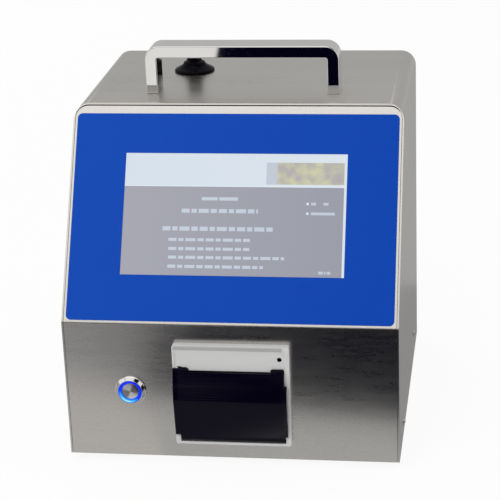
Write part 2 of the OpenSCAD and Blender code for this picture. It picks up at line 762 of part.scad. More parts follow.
// Polished housing: bevelled head, threaded barrel and ring seat
module button_housing() {
    color(bright_steel) in_case() translate([button_x, 0, button_z]) rotate([90, 0, 0]) rotate_extrude() polygon([
        [cap_r + 0.1, -22], [barrel_thread_r, -22], [barrel_thread_r, 0], [button_r - 0.2, 0], [button_r, 0.2],
        [button_r, 0.8], [ring_r + 0.55, head_h - 0.1], [ring_r + 0.35, head_h], [ring_r, head_h], [ring_r, 0.9],
        [cap_r + 0.1, 0.9]]);
}

// Lit translucent ring with a sloping inner wall
module button_ring() {
    color([0.1, 0.35, 1.0]) in_case() translate([button_x, 0, button_z]) rotate([90, 0, 0]) rotate_extrude() polygon([
        [cap_r + 0.1, 0.9], [ring_r, 0.9], [ring_r, ring_h - 0.3], [ring_r - 0.3, ring_h],
        [ring_r - 0.8, ring_h], [cap_r + 0.1, cap_h + 0.3]]);
}

// Metal actuator with a slight dome and its plunger
module button_cap() {
    color(bright_steel) in_case() translate([button_x, 0, button_z]) rotate([90, 0, 0]) rotate_extrude() polygon(
        concat([[0, -10], [cap_r, -10], [cap_r, cap_h - 0.25]],
            [for (i = [0:8]) [(cap_r - 0.25) * (1 - i / 8), cap_h + 0.2 * sin(90 * i / 8)]]));
}

module button_nut() {
    color(bright_steel) in_case() translate([button_x, sheet_t, button_z]) rotate([-90, 0, 0]) difference() {
        cylinder(r = 12.7, h = 3, $fn = 6);
        translate([0, 0, -1]) cylinder(r = barrel_thread_r + 0.02, h = 5);
    }
}

// Contact block at the back of the barrel
module button_switch() {
    color(black) in_case() {
        rod_y([button_x, 22, button_z], 8.6, 9);
        for (x = [-4, 0, 4], z = [-3, 3]) block([button_x + x - 0.4, 31, button_z + z - 1.4], [button_x + x + 0.4, 37, button_z + z + 1.4]);
    }
}

// ---------------------------------------------------------- air and sensor

// Bridge over the pump, battery and power supply
module equipment_shelf() {
    color(steel) in_case() difference() {
        union() {
            block([-shelf_x, shelf_y0, shelf_z], [shelf_x, shelf_y1, shelf_z + shelf_t]);
            for (s = [-1, 1]) {
                block([s > 0 ? shelf_x - shelf_t : -shelf_x, shelf_y0, sheet_t], [s > 0 ? shelf_x : -shelf_x + shelf_t, shelf_y1, shelf_z + shelf_t]);
                block([s > 0 ? shelf_x - 8 : -shelf_x, shelf_y0, sheet_t], [s > 0 ? shelf_x : -shelf_x + 8, shelf_y1, sheet_t + shelf_t]);
            }
        }
        for (s = [-1, 1]) rod_x([s * shelf_x - 6, 148, 52], 18, 12);
        rod_z([suction_x, suction_y, shelf_z - 1], 9, 4);
    }
}

// Measuring chamber: machined block with air nozzles and optics bosses
module optical_sensor() {
    top = sensor_z0 + sensor_h;
    color([0.12, 0.12, 0.13]) in_case() difference() {
        union() {
            block([sensor_x0, sensor_y0, sensor_z0], [sensor_x1, sensor_y1, top]);
            block([sensor_x0 - 6, sensor_y0 + 10, sensor_z0], [sensor_x1 + 6, sensor_y0 + 24, sensor_z0 + 4]);
            block([sensor_x0 - 6, sensor_y1 - 24, sensor_z0], [sensor_x1 + 6, sensor_y1 - 10, sensor_z0 + 4]);
            rod_z([inlet_x, inlet_y, top - 1], 9, 5);
            rod_z([inlet_x, inlet_y, top], nozzle_r, 14);
            rod_x([sensor_x1 - 1, suction_y, suction_z], nozzle_r, 9);
        }
        rod_z([inlet_x, inlet_y, top - 20], 3, 40);
        rod_x([sensor_x1 - 20, suction_y, suction_z], 3, 30);
        for (i = [0:3]) block([sensor_x0 + 6 + i * 6, sensor_y0 - 1, sensor_z0 + 24], [sensor_x0 + 8.5 + i * 6, sensor_y0 + 3, top + 1]);
    }
}

module laser_module() {
    color(brass) in_case() {
        rod_y([inlet_x, sensor_y0 - 26, sensor_z0 + 22], 7, 26);
        rod_y([inlet_x, sensor_y0 - 30, sensor_z0 + 22], 4.5, 4);
    }
}

module detector_board() {
    color(board_green) in_case() {
        block([sensor_x0 - 4.6, sensor_y0 + 30, sensor_z0 + 6], [sensor_x0 - 3, sensor_y1 - 8, sensor_z0 + 40]);
        rod_x([sensor_x0 - 3, inlet_y, sensor_z0 + 22], 8, 3);
        block([sensor_x0 - 8, sensor_y1 - 18, sensor_z0 + 12], [sensor_x0 - 4.6, sensor_y1 - 12, sensor_z0 + 26]);
    }
}

// Sample tube from the inlet straight down to the chamber
module sample_tube() {
    z0 = sensor_z0 + sensor_h + 4.2;
    z1 = case_h - 17;
    color([0.75, 0.75, 0.75, 0.6]) in_case() translate([inlet_x, inlet_y, z0]) difference() {
        cylinder(r = tube_r, h = z1 - z0);
        translate([0, 0, -1]) cylinder(r = nozzle_r, h = z1 - z0 + 2);
    }
}

// Suction tube from the chamber, through one bend, down to the pump
module suction_tube() {
    color([0.75, 0.75, 0.75, 0.6]) in_case() difference() {
        suction_run(tube_r, 0);
        suction_run(nozzle_r, 1);
    }
}

// The run of the suction tube at one radius, longer by over at both ends
module suction_run(r, over) {
    x0 = sensor_x1 + 1 - over;
    x1 = suction_x - suction_bend;
    z0 = pump_z + pump_r + 6 - over;
    rod_x([x0, suction_y, suction_z], r, x1 - x0);
    translate([x1, suction_y, suction_z - suction_bend]) rotate([90, 0, 0]) rotate_extrude(angle = 90)
        translate([suction_bend, 0]) circle(r);
    rod_z([suction_x, suction_y, z0], r, suction_z - suction_bend - z0);
}

// Rotary pump and its motor, with top inlet and rear outlet
module air_pump() {
    color(grey) in_case() difference() {
        union() {
            rod_y([0, pump_y0, pump_z], 17, 44);
            rod_y([0, pump_y0 + 44, pump_z], pump_r, pump_y1 - pump_y0 - 44);
            for (a = [0:60:300]) rod_y([21 * cos(a + 30), pump_y1 - 1, pump_z + 21 * sin(a + 30)], 2, 3);
            rod_z([suction_x, suction_y, pump_z + 15], 7.5, pump_r - 11);
            rod_z([suction_x, suction_y, pump_z + pump_r], nozzle_r, 12);
            rod_y([0, pump_y1 - 1, pump_z], nozzle_r, 11);
            block([-20, pump_y0 + 50, sheet_t], [20, pump_y1 - 6, pump_z - 15]);
        }
        rod_z([suction_x, suction_y, pump_z + 10], 3, 40);
        rod_y([0, pump_y1 - 12, pump_z], 3, 30);
    }
}

// Filter capsule between the pump and the exhaust port
module exhaust_filter() {
    color([0.8, 0.82, 0.85]) in_case() translate([0, pump_y1 + 2.2, pump_z]) rotate([-90, 0, 0]) rotate_extrude() polygon([
        [nozzle_r, 0], [tube_r, 0], [tube_r, 8], [12, 11], [20, 12], [20, 13.5], [18.5, 14.5], [18.5, 34], [20, 35],
        [20, 36.5], [12, 38], [tube_r, 40], [tube_r, 54], [nozzle_r, 54]]);
}

// Outlet nozzle through the back, held by its own nut
module exhaust_port() {
    color(brass) in_case() translate([0, case_d, exhaust_z]) rotate([-90, 0, 0]) {
        rotate_extrude() polygon([[3.2, -14], [nozzle_r, -14], [nozzle_r, -4.2], [6, -4.2], [6, 0], [10, 0], [10, 2.5],
            [6, 2.5], [6, 9], [5.4, 10], [3.2, 10]]);
        translate([0, 0, -4.2]) difference() {
            cylinder(r = 10.4, h = 3, $fn = 6);
            translate([0, 0, -1]) cylinder(r = 5.9, h = 5);
        }
    }
}

// ------------------------------------------------------------- electronics

// Main board with its processor, relays, capacitors and edge connectors
module main_board() {
    z = shelf_z + shelf_t + 8;
    color(board_green) in_case() {
        difference() {
            block([12, 96, z], [98, 196, z + 1.6]);
            for (x = [18, 92], y = [102, 190]) rod_z([x, y, z - 1], 1.7, 4);
        }
        block([40, 140, z + 1.6], [60, 160, z + 3.2]);
        for (i = [0:3]) block([20 + 18 * i, 174, z + 1.6], [34 + 18 * i, 188, z + 11]);
        for (i = [0:2]) rod_z([28 + 12 * i, 118, z + 1.6], 4, 12);
        for (i = [0:2]) block([20 + 26 * i, 97, z + 1.6], [38 + 26 * i, 104, z + 9]);
    }
}

module board_spacers() {
    color(brass) in_case() for (x = [18, 92], y = [102, 190])
        translate([x, y, shelf_z + shelf_t]) cylinder(r = 3.2, h = 8, $fn = 6);
}

// Enclosed supply with a vented lid
module power_supply() {
    color([0.7, 0.7, 0.7]) in_case() difference() {
        block([27, 112, sheet_t], [95, 200, 36]);
        for (x = [34:9:88], y = [124:13:189]) rod_z([x, y, 35], 2.5, 2, $fn = 24);
    }
}

// Shrink-wrapped pack of eight round cells
module battery_pack() {
    color([0.15, 0.25, 0.5]) in_case() {
        for (i = [0:3], k = [0:1]) rod_y([-92 + 19 * i, 96, 13 + 19 * k], 9.6, 66);
        block([-88, 96, sheet_t], [-39, 162, 13]);
        block([-92, 96, 13], [-35, 162, 41.6]);
        block([-84, 162, 14], [-44, 170, 32]);
    }
}

// Fan housing: square frame, four struts and a bearing hub
module fan_frame() {
    color(black) in_case() translate([fan_x, fan_y, fan_z]) difference() {
        union() {
            rearwards(0, fan_t) difference() {
                round_rect(fan_w, fan_w, 4);
                circle(28);
            }
            rearwards(0, 2) for (a = [45, 135]) rotate(a) square([57, 3.4], center = true);
            rod_y([0, 0, 0], 9, 3);
            rod_y([0, 0, 0], 3.5, 9);
        }
        rod_y([0, 1.5, 0], shaft_r + running, 12);
        for (x = [-1, 1], z = [-1, 1]) rod_y([x * 25, -1, z * 25], m3_r + 0.1, fan_t + 2);
    }
}

// Fan rotor: hub, pitched blades and a shaft in the frame's bearing
module fan_rotor() {
    color([0.1, 0.1, 0.1]) in_case() translate([fan_x, fan_y, fan_z]) {
        difference() {
            rod_y([0, 3.6, 0], 11, 9.6);
            rod_y([0, 3, 0], 4.6, 8);
        }
        rod_y([0, 2.5, 0], shaft_r, 9.5);
        for (i = [0:blade_count - 1]) rotate([0, i * 360 / blade_count, 0])
            translate([10.4, 8.4, 0]) rotate([-38, 0, 0]) translate([0, -0.7, -5.6]) cube([16.4, 1.4, 11.2]);
    }
}

module fan_screws() {
    color(black) in_case() for (x = [-1, 1], z = [-1, 1])
        translate([fan_x + x * 25, case_d, fan_z + z * 25]) rotate([90, 0, 0]) pan_screw(m3_r, m3_head_r, m3_head_h, 14);
}

// Mains appliance inlet: flange, shroud and sunk socket
module mains_inlet() {
    color(black) in_case() translate([mains_x, case_d, mains_z]) difference() {
        union() {
            rearwards(0, 2.6) difference() {
                round_rect(50, 23, 4);
                for (s = [-1, 1]) translate([s * 20, 0]) circle(m3_r + 0.1);
            }
            block([-13.6, -16, -9.8], [13.6, 1, 9.8]);
        }
        rearwards(-13.5, 4) difference() {
            polygon([[-12, -8.2], [12, -8.2], [12, 4], [7.8, 8.2], [-7.8, 8.2], [-12, 4]]);
        }
        blade_contacts();
    }
}

module blade_contacts() {
    for (p = [[-7, -2.5], [0, 1.8], [7, -2.5]]) block([p[0] - 1, -22, p[1] - 2], [p[0] + 1, -3.2, p[1] + 2]);
}

// Three blade contacts of the mains inlet
module inlet_pins() {
    color(bright_steel) in_case() translate([mains_x, case_d, mains_z]) blade_contacts();
}

// Nine-way data socket with its jack screws
module serial_port() {
    color([0.65, 0.66, 0.68]) in_case() translate([serial_x, case_d, serial_z]) difference() {
        union() {
            block([-15.4, -2.2, -6.2], [15.4, -sheet_t, 6.2]);
            rearwards(-2, 5.6) polygon([[-8.4, 4.2], [8.4, 4.2], [7.2, -4.2], [-7.2, -4.2]]);
            for (s = [-1, 1]) translate([s * 12.5, -2, 0]) rotate([-90, 0, 0]) {
                cylinder(r = m3_r, h = 3);
                translate([0, 0, 2]) cylinder(r = 2.7, h = 4.6, $fn = 6);
            }
            block([-9, -12, -5], [9, -2, 5]);
        }
        for (i = [0:4]) rod_y([-5.5 + 2.75 * i, 3, 1.4], 0.55, 3, $fn = 16);
        for (i = [0:3]) rod_y([-4.1 + 2.75 * i, 3, -1.4], 0.55, 3, $fn = 16);
    }
}

// ------------------------------------------------------------------ nodes

case_cover();
front_panel();
base_tray();
rear_panel();
rear_screws();
side_screws();
rubber_feet();
foot_screws();
handle();
handle_screws();
sampling_inlet();
inlet_seal();
inlet_nut();
front_film();
touch_panel();
lcd_module();
display_bracket();
display_nuts();
display_board();
printer_bezel();
printer_case();
printer_lamp();
print_head();
paper_roll();
printer_motor();
drive_gear();
motor_shaft();
printer_door();
door_pin();
platen_roller();
platen_shaft();
platen_gear();
button_housing();
button_ring();
button_cap();
button_nut();
button_switch();
equipment_shelf();
optical_sensor();
laser_module();
detector_board();
sample_tube();
suction_tube();
air_pump();
exhaust_filter();
exhaust_port();
main_board();
board_spacers();
power_supply();
battery_pack();
fan_frame();
fan_rotor();
fan_screws();
mains_inlet();
inlet_pins();
serial_port();
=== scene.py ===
"""Dresses the airborne particle counter for rendering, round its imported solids.

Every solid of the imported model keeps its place. Pieces whose look depends on fine
form are built here again as smooth surfaces, and every finish is a node material.
"""

from __future__ import annotations

import json
import logging
import math
from dataclasses import dataclass
from enum import Enum
from typing import Callable, Sequence

import bmesh
import bpy
import numpy as np
from mathutils import Euler, Matrix, Vector

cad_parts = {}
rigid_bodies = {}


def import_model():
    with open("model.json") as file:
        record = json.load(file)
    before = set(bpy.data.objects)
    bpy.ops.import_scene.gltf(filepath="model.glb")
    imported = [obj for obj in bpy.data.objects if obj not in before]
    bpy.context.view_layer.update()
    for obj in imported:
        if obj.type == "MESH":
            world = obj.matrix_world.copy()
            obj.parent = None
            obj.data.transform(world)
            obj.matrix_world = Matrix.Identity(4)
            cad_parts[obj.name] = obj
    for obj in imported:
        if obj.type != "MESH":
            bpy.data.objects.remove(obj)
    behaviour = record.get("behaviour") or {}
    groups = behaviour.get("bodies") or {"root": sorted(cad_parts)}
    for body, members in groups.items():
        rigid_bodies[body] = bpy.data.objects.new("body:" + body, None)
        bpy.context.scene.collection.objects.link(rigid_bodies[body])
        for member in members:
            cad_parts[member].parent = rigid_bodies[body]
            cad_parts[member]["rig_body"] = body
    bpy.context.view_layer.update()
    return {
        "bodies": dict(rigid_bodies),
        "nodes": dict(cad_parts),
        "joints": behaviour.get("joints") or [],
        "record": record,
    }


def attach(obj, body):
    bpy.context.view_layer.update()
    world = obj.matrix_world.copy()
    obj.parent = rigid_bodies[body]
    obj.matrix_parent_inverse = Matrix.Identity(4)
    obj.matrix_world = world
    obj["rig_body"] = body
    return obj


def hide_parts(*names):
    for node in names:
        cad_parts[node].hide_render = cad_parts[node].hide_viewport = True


log = logging.getLogger("particle_counter")

MM = 0.001
FRONT_Y = -113.0
FOOT_H = 6.0
FOLD_Z = 99.0
SLOPE_Y = 82.0
CASE_H = 231.0
SLOPE_A = math.atan2(SLOPE_Y, CASE_H - FOLD_Z)
MERGE_M = 2e-6
BEVEL_STEPS = 3
CORNER_REACH = 0.49
FLAT_DEG = 0.5

Colour = tuple[float, float, float]
Grid = np.ndarray


# ------------------------------------------------------------------ placing


def in_case(points: Grid) -> Grid:
    """Moves points from the case's own frame, in millimetres, to the part's frame.

    Args:
        points: array of x, y, z rows; y = 0 is the upright front face and z = 0 the
            lower edge of the steel.

    Returns:
        The same points in metres.
    """
    return (points + np.array([0.0, FRONT_Y, FOOT_H])) * MM


def on_slope(points: Grid) -> Grid:
    """Moves points from the slope's frame to the part's frame.

    Args:
        points: rows of x across, y into the case and z up along the sheet.

    Returns:
        The points in metres: y and z turned back by the slope's angle, then raised
        to the fold.
    """
    x, y, z = points[..., 0], points[..., 1], points[..., 2]
    c, s = math.cos(SLOPE_A), math.sin(SLOPE_A)
    turned = np.stack([x, y * c + z * s, z * c - y * s + FOLD_Z], axis=-1)
    return in_case(turned)


# ----------------------------------------------------------------- surfaces


class Surface:
    """Meshes worked out as whole arrays and the few steps that finish them."""

    @staticmethod
    def skin(rows: Grid, close_u: bool = False, close_v: bool = False) -> Grid:
        """Joins a grid of points into quads.

        Each quad takes point (i, j), (i, j + 1), (i + 1, j + 1) and (i + 1, j).

        Args:
            rows: grid of points, shape (u, v, 3).
            close_u: join the last row to the first.
            close_v: join the last column to the first.

        Returns:
            Array of quads.
        """
        nu, nv = rows.shape[:2]
        ids = np.arange(nu * nv).reshape(nu, nv)
        if close_u:
            ids = np.vstack([ids, ids[:1]])
        if close_v:
            ids = np.hstack([ids, ids[:, :1]])
        a, b = ids[:-1, :-1], ids[:-1, 1:]
        c, d = ids[1:, 1:], ids[1:, :-1]
        return np.stack([a, b, c, d], axis=-1).reshape(-1, 4)

    @staticmethod
    def mesh(name: str, points: Grid, faces: Sequence[Sequence[int]]) -> bpy.types.Object:
        """Makes an object from points in metres and faces.

        Args:
            name: the object's name.
            points: rows of x, y, z in metres.
            faces: vertex numbers of each face.

        Returns:
            The object, linked to the scene.
        """
        data = bpy.data.meshes.new(name)
        data.from_pydata(points.reshape(-1, 3).tolist(), [], [list(map(int, f)) for f in faces])
        obj = bpy.data.objects.new(name, data)
        bpy.context.scene.collection.objects.link(obj)
        return obj

    @staticmethod
    def finish(obj: bpy.types.Object, edge: float = 0.0, flat_deg: float = 0.0,
               smooth_deg: float = 34.0) -> None:
        """Merges doubles, joins flat faces, turns faces outwards and rounds the sharp edges.

        Args:
            obj: the object.
            edge: radius of the rounding in millimetres, or 0 for none.
            flat_deg: faces that meet flatter than this are joined.
            smooth_deg: edges flatter than this are shaded smooth.
        """
        work = bmesh.new()
        work.from_mesh(obj.data)
        bmesh.ops.remove_doubles(work, verts=work.verts, dist=MERGE_M)
        if flat_deg:
            bmesh.ops.dissolve_limit(work, angle_limit=math.radians(flat_deg), verts=work.verts,
                                     edges=work.edges)
        bmesh.ops.recalc_face_normals(work, faces=work.faces)
        work.to_mesh(obj.data)
        work.free()
        obj.data.shade_smooth()
        obj.data.set_sharp_from_angle(angle=math.radians(smooth_deg))
        if edge:
            bevel = obj.modifiers.new("edge", "BEVEL")
            bevel.width = edge * MM
            bevel.segments = BEVEL_STEPS
            bevel.limit_method = "ANGLE"
            bevel.angle_limit = math.radians(smooth_deg)
            bevel.harden_normals = True

    @staticmethod
    def lathe(name: str, outline: Grid, place: Callable[[Grid], Grid], steps: int = 128) -> bpy.types.Object:
        """Turns a closed outline round an axis.

        The point (r, h) goes to (r cos a, r sin a, h) for every angle a.

        Args:
            name: the object's name.
            outline: closed outline as rows of radius and height.
            place: puts the turned points, x and y across the axis and z along it,
                into the part's frame.
            steps: number of angles.

        Returns:
            The object.
        """
        a = np.linspace(0, 2 * math.pi, steps, endpoint=False)[:, None]
        r, h = outline[None, :, 0], outline[None, :, 1]
        rows = np.stack([r * np.cos(a), r * np.sin(a), h + 0 * a], axis=-1)
        obj = Surface.mesh(name, place(rows), Surface.skin(rows, close_u=True, close_v=True))
        Surface.finish(obj)
        return obj

    @staticmethod
    def rounded(outline: Grid, radius: float | Sequence[float], steps: int = 5) -> Grid:
        """Rounds the corners of a closed outline.

        Each corner becomes a curve from the point one cut before it to the one after
        it: (1 - t)^2 A + 2 t (1 - t) P + t^2 B.

        Args:
            outline: corner points, shape (n, 2).
            radius: cut back from each corner, one value or one a corner.
            steps: points on each corner.

        Returns:
            The rounded outline.
        """
        outline = np.asarray(outline, float)
        cut = np.broadcast_to(np.asarray(radius, float), (len(outline),))[:, None]
        before = np.roll(outline, 1, axis=0) - outline
        after = np.roll(outline, -1, axis=0) - outline
        la = np.linalg.norm(before, axis=1, keepdims=True)
        lb = np.linalg.norm(after, axis=1, keepdims=True)
        reach = np.minimum(cut, CORNER_REACH * np.minimum(la, lb))
        start = outline + before / la * reach
        stop = outline + after / lb * reach
        t = np.linspace(0, 1, steps)[None, :, None]
        curve = (1 - t) ** 2 * start[:, None] + 2 * t * (1 - t) * outline[:, None] + t**2 * stop[:, None]
        return curve.reshape(-1, 2)

    @staticmethod
    def tiles(name: str, boxes: Grid, y0: float, y1: float,
              place: Callable[[Grid], Grid]) -> bpy.types.Object:
        """Flat tiles side by side, made as one object of closed plates.

        Args:
            name: the object's name.
            boxes: rows of left, lower, right and upper limits.
            y0: front plane.
            y1: back plane.
            place: puts the points into the part's frame.

        Returns:
            The object.
        """
        boxes = np.asarray(boxes, float)
        x, z = boxes[:, [0, 2, 2, 0]], boxes[:, [1, 1, 3, 3]]
        rings = [np.stack([x, y + 0 * x, z], axis=-1) for y in (y0, y1)]
        points = np.concatenate(rings, axis=1)
        sides = np.array([[0, 1, 2, 3], [7, 6, 5, 4], [0, 4, 5, 1], [1, 5, 6, 2], [2, 6, 7, 3], [3, 7, 4, 0]])
        faces = (sides[None] + 8 * np.arange(len(boxes))[:, None, None]).reshape(-1, 4)
        obj = Surface.mesh(name, place(points.reshape(-1, 3)), faces)
        Surface.finish(obj)
        return obj


# ------------------------------------------------------------------- shading


class Signal:
    """An output socket whose arithmetic is written with Python's operators."""

    def __init__(self, recipe: "Recipe", socket: bpy.types.NodeSocket) -> None:
        """Keeps the socket and the recipe that new nodes go into."""
        self.recipe = recipe
        self.socket = socket

    def maths(self, operation: str, *values: "Signal | float") -> "Signal":
        """Adds one Math node with this signal as its first value."""
        return self.recipe.node("ShaderNodeMath", {"operation": operation},
                                dict(enumerate((self, *values))))

    def __add__(self, other: "Signal | float") -> "Signal":
        """Sum."""
        return self.maths("ADD", other)

    __radd__ = __add__

    def __mul__(self, other: "Signal | float") -> "Signal":
        """Product."""
        return self.maths("MULTIPLY", other)

    __rmul__ = __mul__

    def __sub__(self, other: "Signal | float") -> "Signal":
        """Difference."""
        return self.maths("SUBTRACT", other)

    def __rsub__(self, other: float) -> "Signal":
        """A number less this signal."""
        return self.recipe.node("ShaderNodeMath", {"operation": "SUBTRACT"}, {0: other, 1: self})

    def __truediv__(self, other: "Signal | float") -> "Signal":
        """Quotient."""
        return self.maths("DIVIDE", other)

    def __pow__(self, other: "Signal | float") -> "Signal":
        """Power."""
        return self.maths("POWER", other)

    def at_least(self, edge: float, soft: float) -> "Signal":
        """1 above an edge and 0 below it, with a soft change across it."""
        return self.recipe.node("ShaderNodeMapRange", {"interpolation_type": "SMOOTHSTEP"}, {
            "Value": self, "From Min": edge - soft, "From Max": edge + soft, "To Min": 0.0, "To Max": 1.0})

    def between(self, low: float, high: float, soft: float) -> "Signal":
        """1 between two edges and 0 outside them."""
        return self.at_least(low, soft) * (1 - self.at_least(high, soft))

    def spread(self, low: float, high: float, to_low: float, to_high: float) -> "Signal":
        """This signal carried linearly from one range to another, and held there."""
        return self.recipe.node("ShaderNodeMapRange", {}, {
            "Value": self, "From Min": low, "From Max": high, "To Min": to_low, "To Max": to_high})


class Recipe:
    """One material being put together."""

    def __init__(self, name: str) -> None:
        """Starts a material with a Principled shader."""
        self.material = bpy.data.materials.new(name)
        self.material.use_nodes = True
        self.tree = self.material.node_tree
        self.tree.nodes.clear()
        self.shader = self.tree.nodes.new("ShaderNodeBsdfPrincipled")
        self.output = self.tree.nodes.new("ShaderNodeOutputMaterial")
        self.tree.links.new(self.shader.outputs[0], self.output.inputs["Surface"])

    def node(self, kind: str, settings: dict, inputs: dict, output: int | str = 0) -> Signal:
        """Adds a node.

        Args:
            kind: the node's type.
            settings: its properties, set first.
            inputs: values or signals by socket name or number.
            output: the socket to return.

        Returns:
            The chosen output as a signal.
        """
        made = self.tree.nodes.new(kind)
        for key, value in settings.items():
            setattr(made, key, value)
        for key, value in inputs.items():
            self.feed(made.inputs[key], value)
        return Signal(self, made.outputs[output])

    def feed(self, socket: bpy.types.NodeSocket, value: object) -> None:
        """Links a signal to a socket, or sets the socket's own value."""
        if isinstance(value, Signal):
            self.tree.links.new(value.socket, socket)
        elif isinstance(value, tuple) and len(value) == 3 and socket.type == "RGBA":
            socket.default_value = (*value, 1.0)
        else:
            socket.default_value = value

    def place(self, scale: Sequence[float] = (1, 1, 1), centre: Sequence[float] = (0, 0, 0)) -> Signal:
        """Object coordinates, moved to a centre and scaled.

        Args:
            scale: factor on each axis.
            centre: point in metres that becomes the pattern's origin.

        Returns:
            The coordinates.
        """
        here = self.node("ShaderNodeTexCoord", {}, {}, "Object")
        moved = self.node("ShaderNodeVectorMath", {"operation": "SUBTRACT"}, {0: here, 1: tuple(centre)})
        return self.node("ShaderNodeMapping", {"vector_type": "POINT"},
                         {"Vector": moved, "Scale": tuple(scale)})

    def axes(self, where: Signal) -> tuple[Signal, Signal, Signal]:
        """The three parts of a vector signal."""
        x = self.node("ShaderNodeSeparateXYZ", {}, {0: where}, 0)
        parts = x.socket.node.outputs
        return x, Signal(self, parts[1]), Signal(self, parts[2])

    def noise(self, where: Signal, scale: float, detail: float = 2.0, rough: float = 0.5) -> Signal:
        """Smooth noise between 0 and 1."""
        return self.node("ShaderNodeTexNoise", {}, {
            "Vector": where, "Scale": scale, "Detail": detail, "Roughness": rough})

    def blend(self, factor: Signal | float, low: object, high: object) -> Signal:
        """A colour between low at factor 0 and high at factor 1."""
        return self.node("ShaderNodeMix", {"data_type": "RGBA"}, {0: factor, 6: low, 7: high}, 2)

    def bump(self, height: Signal, distance: float) -> Signal:
        """A normal raised by a height, in metres at height 1."""
        return self.node("ShaderNodeBump", {}, {"Height": height, "Distance": distance, "Strength": 1.0})

    def set(self, **values: object) -> None:
        """Sets sockets of the Principled shader; underscores stand for spaces."""
        for key, value in values.items():
            self.feed(self.shader.inputs[key.replace("_", " ")], value)


class Grain(Enum):
    """The direction that a sheet was brushed in."""

    ACROSS = (5.0, 2200.0, 2200.0)
    BACK = (2200.0, 5.0, 2200.0)
    SHORT = (260.0, 1700.0, 1700.0)


@dataclass(frozen=True)
class BrushedSheet:
    """Stainless sheet with fine brush lines, light stains and uneven gloss."""

    name: str
    colour: Colour
    grain: Grain
    roughness: float = 0.24
    contrast: float = 0.20
    lines: float = 0.0000009
    broad: float = 0.16
    stain: float = 0.16
    stain_scale: float = 11.0
    speckle: float = 0.10
    speckle_scale: float = 700.0
    darkest: float = 0.6
    lightest: Colour = (1.4, 1.39, 1.36)

    def material(self) -> bpy.types.Material:
        """Colour follows long streaks and stains; height follows the finest streaks."""
        r = Recipe(self.name)
        fine = r.noise(r.place(self.grain.value), 1.0, 3.0, 0.6)
        streak = r.noise(r.place(tuple(v * self.broad for v in self.grain.value)), 1.0, 4.0, 0.55)
        cloud = r.noise(r.place(), self.stain_scale, 4.0, 0.6)
        speck = r.noise(r.place(), self.speckle_scale, 2.0, 0.6)
        shade = ((fine - 0.5) * self.contrast + (streak - 0.5) * self.contrast * 0.7
                 + (cloud - 0.5) * self.stain + (speck - 0.5) * self.speckle)
        low = tuple(c * self.darkest for c in self.colour)
        high = tuple(min(1.0, c * gain) for c, gain in zip(self.colour, self.lightest))
        r.set(Base_Color=r.blend(shade + 0.5, low, high), Metallic=1.0,
              Roughness=(streak - 0.5) * 0.10 + (cloud - 0.5) * 0.12 + self.roughness,
              Normal=r.bump(fine, self.lines))
        return r.material


@dataclass(frozen=True)
class Polished:
    """Mirror-finished metal with faint polishing waves and dust."""

    name: str
    colour: Colour
    roughness: float = 0.025
    wave: float = 0.000002

    def material(self) -> bpy.types.Material:
        """Long low waves bend the reflections; specks raise the roughness."""
        r = Recipe(self.name)
        wave = r.noise(r.place(), 60.0, 1.0, 0.4)
        specks = r.noise(r.place(), 1300.0, 2.0, 0.6).at_least(0.70, 0.04)
        r.set(Base_Color=r.blend(wave, tuple(c * 0.95 for c in self.colour), self.colour), Metallic=1.0,
              Roughness=specks * 0.10 + self.roughness, Normal=r.bump(wave, self.wave))
        return r.material


@dataclass(frozen=True)
class TurnedWithPaintedGlint:
    """Metal faced on a lathe: fine rings round one point, with a two-sided highlight painted into the colour.
    """

    name: str
    colour: Colour
    centre: tuple[float, float, float]
    painted_glint_deg: float = 115.0
    roughness: float = 0.3

    def material(self) -> bpy.types.Material:
        """Rings follow the distance r from the axis; the painted highlight is the square of one
        direction's share, (x cos s + z sin s)^2 / r^2, and runs the colour from a dark side to a bright one."""
        r = Recipe(self.name)
        x, _, z = r.axes(r.place(centre=self.centre))
        square = x * x + z * z + 1e-9
        along = x * math.cos(math.radians(self.painted_glint_deg)) + z * math.sin(math.radians(self.painted_glint_deg))
        # painted highlight: two opposite sides of the cap are made bright and the others dark in the base
        # colour itself
        painted_glint = (along * along / square).at_least(0.5, 0.32)
        rings = r.noise(r.node("ShaderNodeCombineXYZ", {}, {0: square ** 0.5}), 7000.0, 2.0, 0.7)
        low, high = tuple(c * 0.30 for c in self.colour), self.colour
        r.set(Base_Color=r.blend(painted_glint * 0.85 + (rings - 0.5) * 0.5, low, high), Metallic=0.9,
              Roughness=(rings - 0.5) * 0.15 + self.roughness, Normal=r.bump(rings, 0.000003))
        return r.material


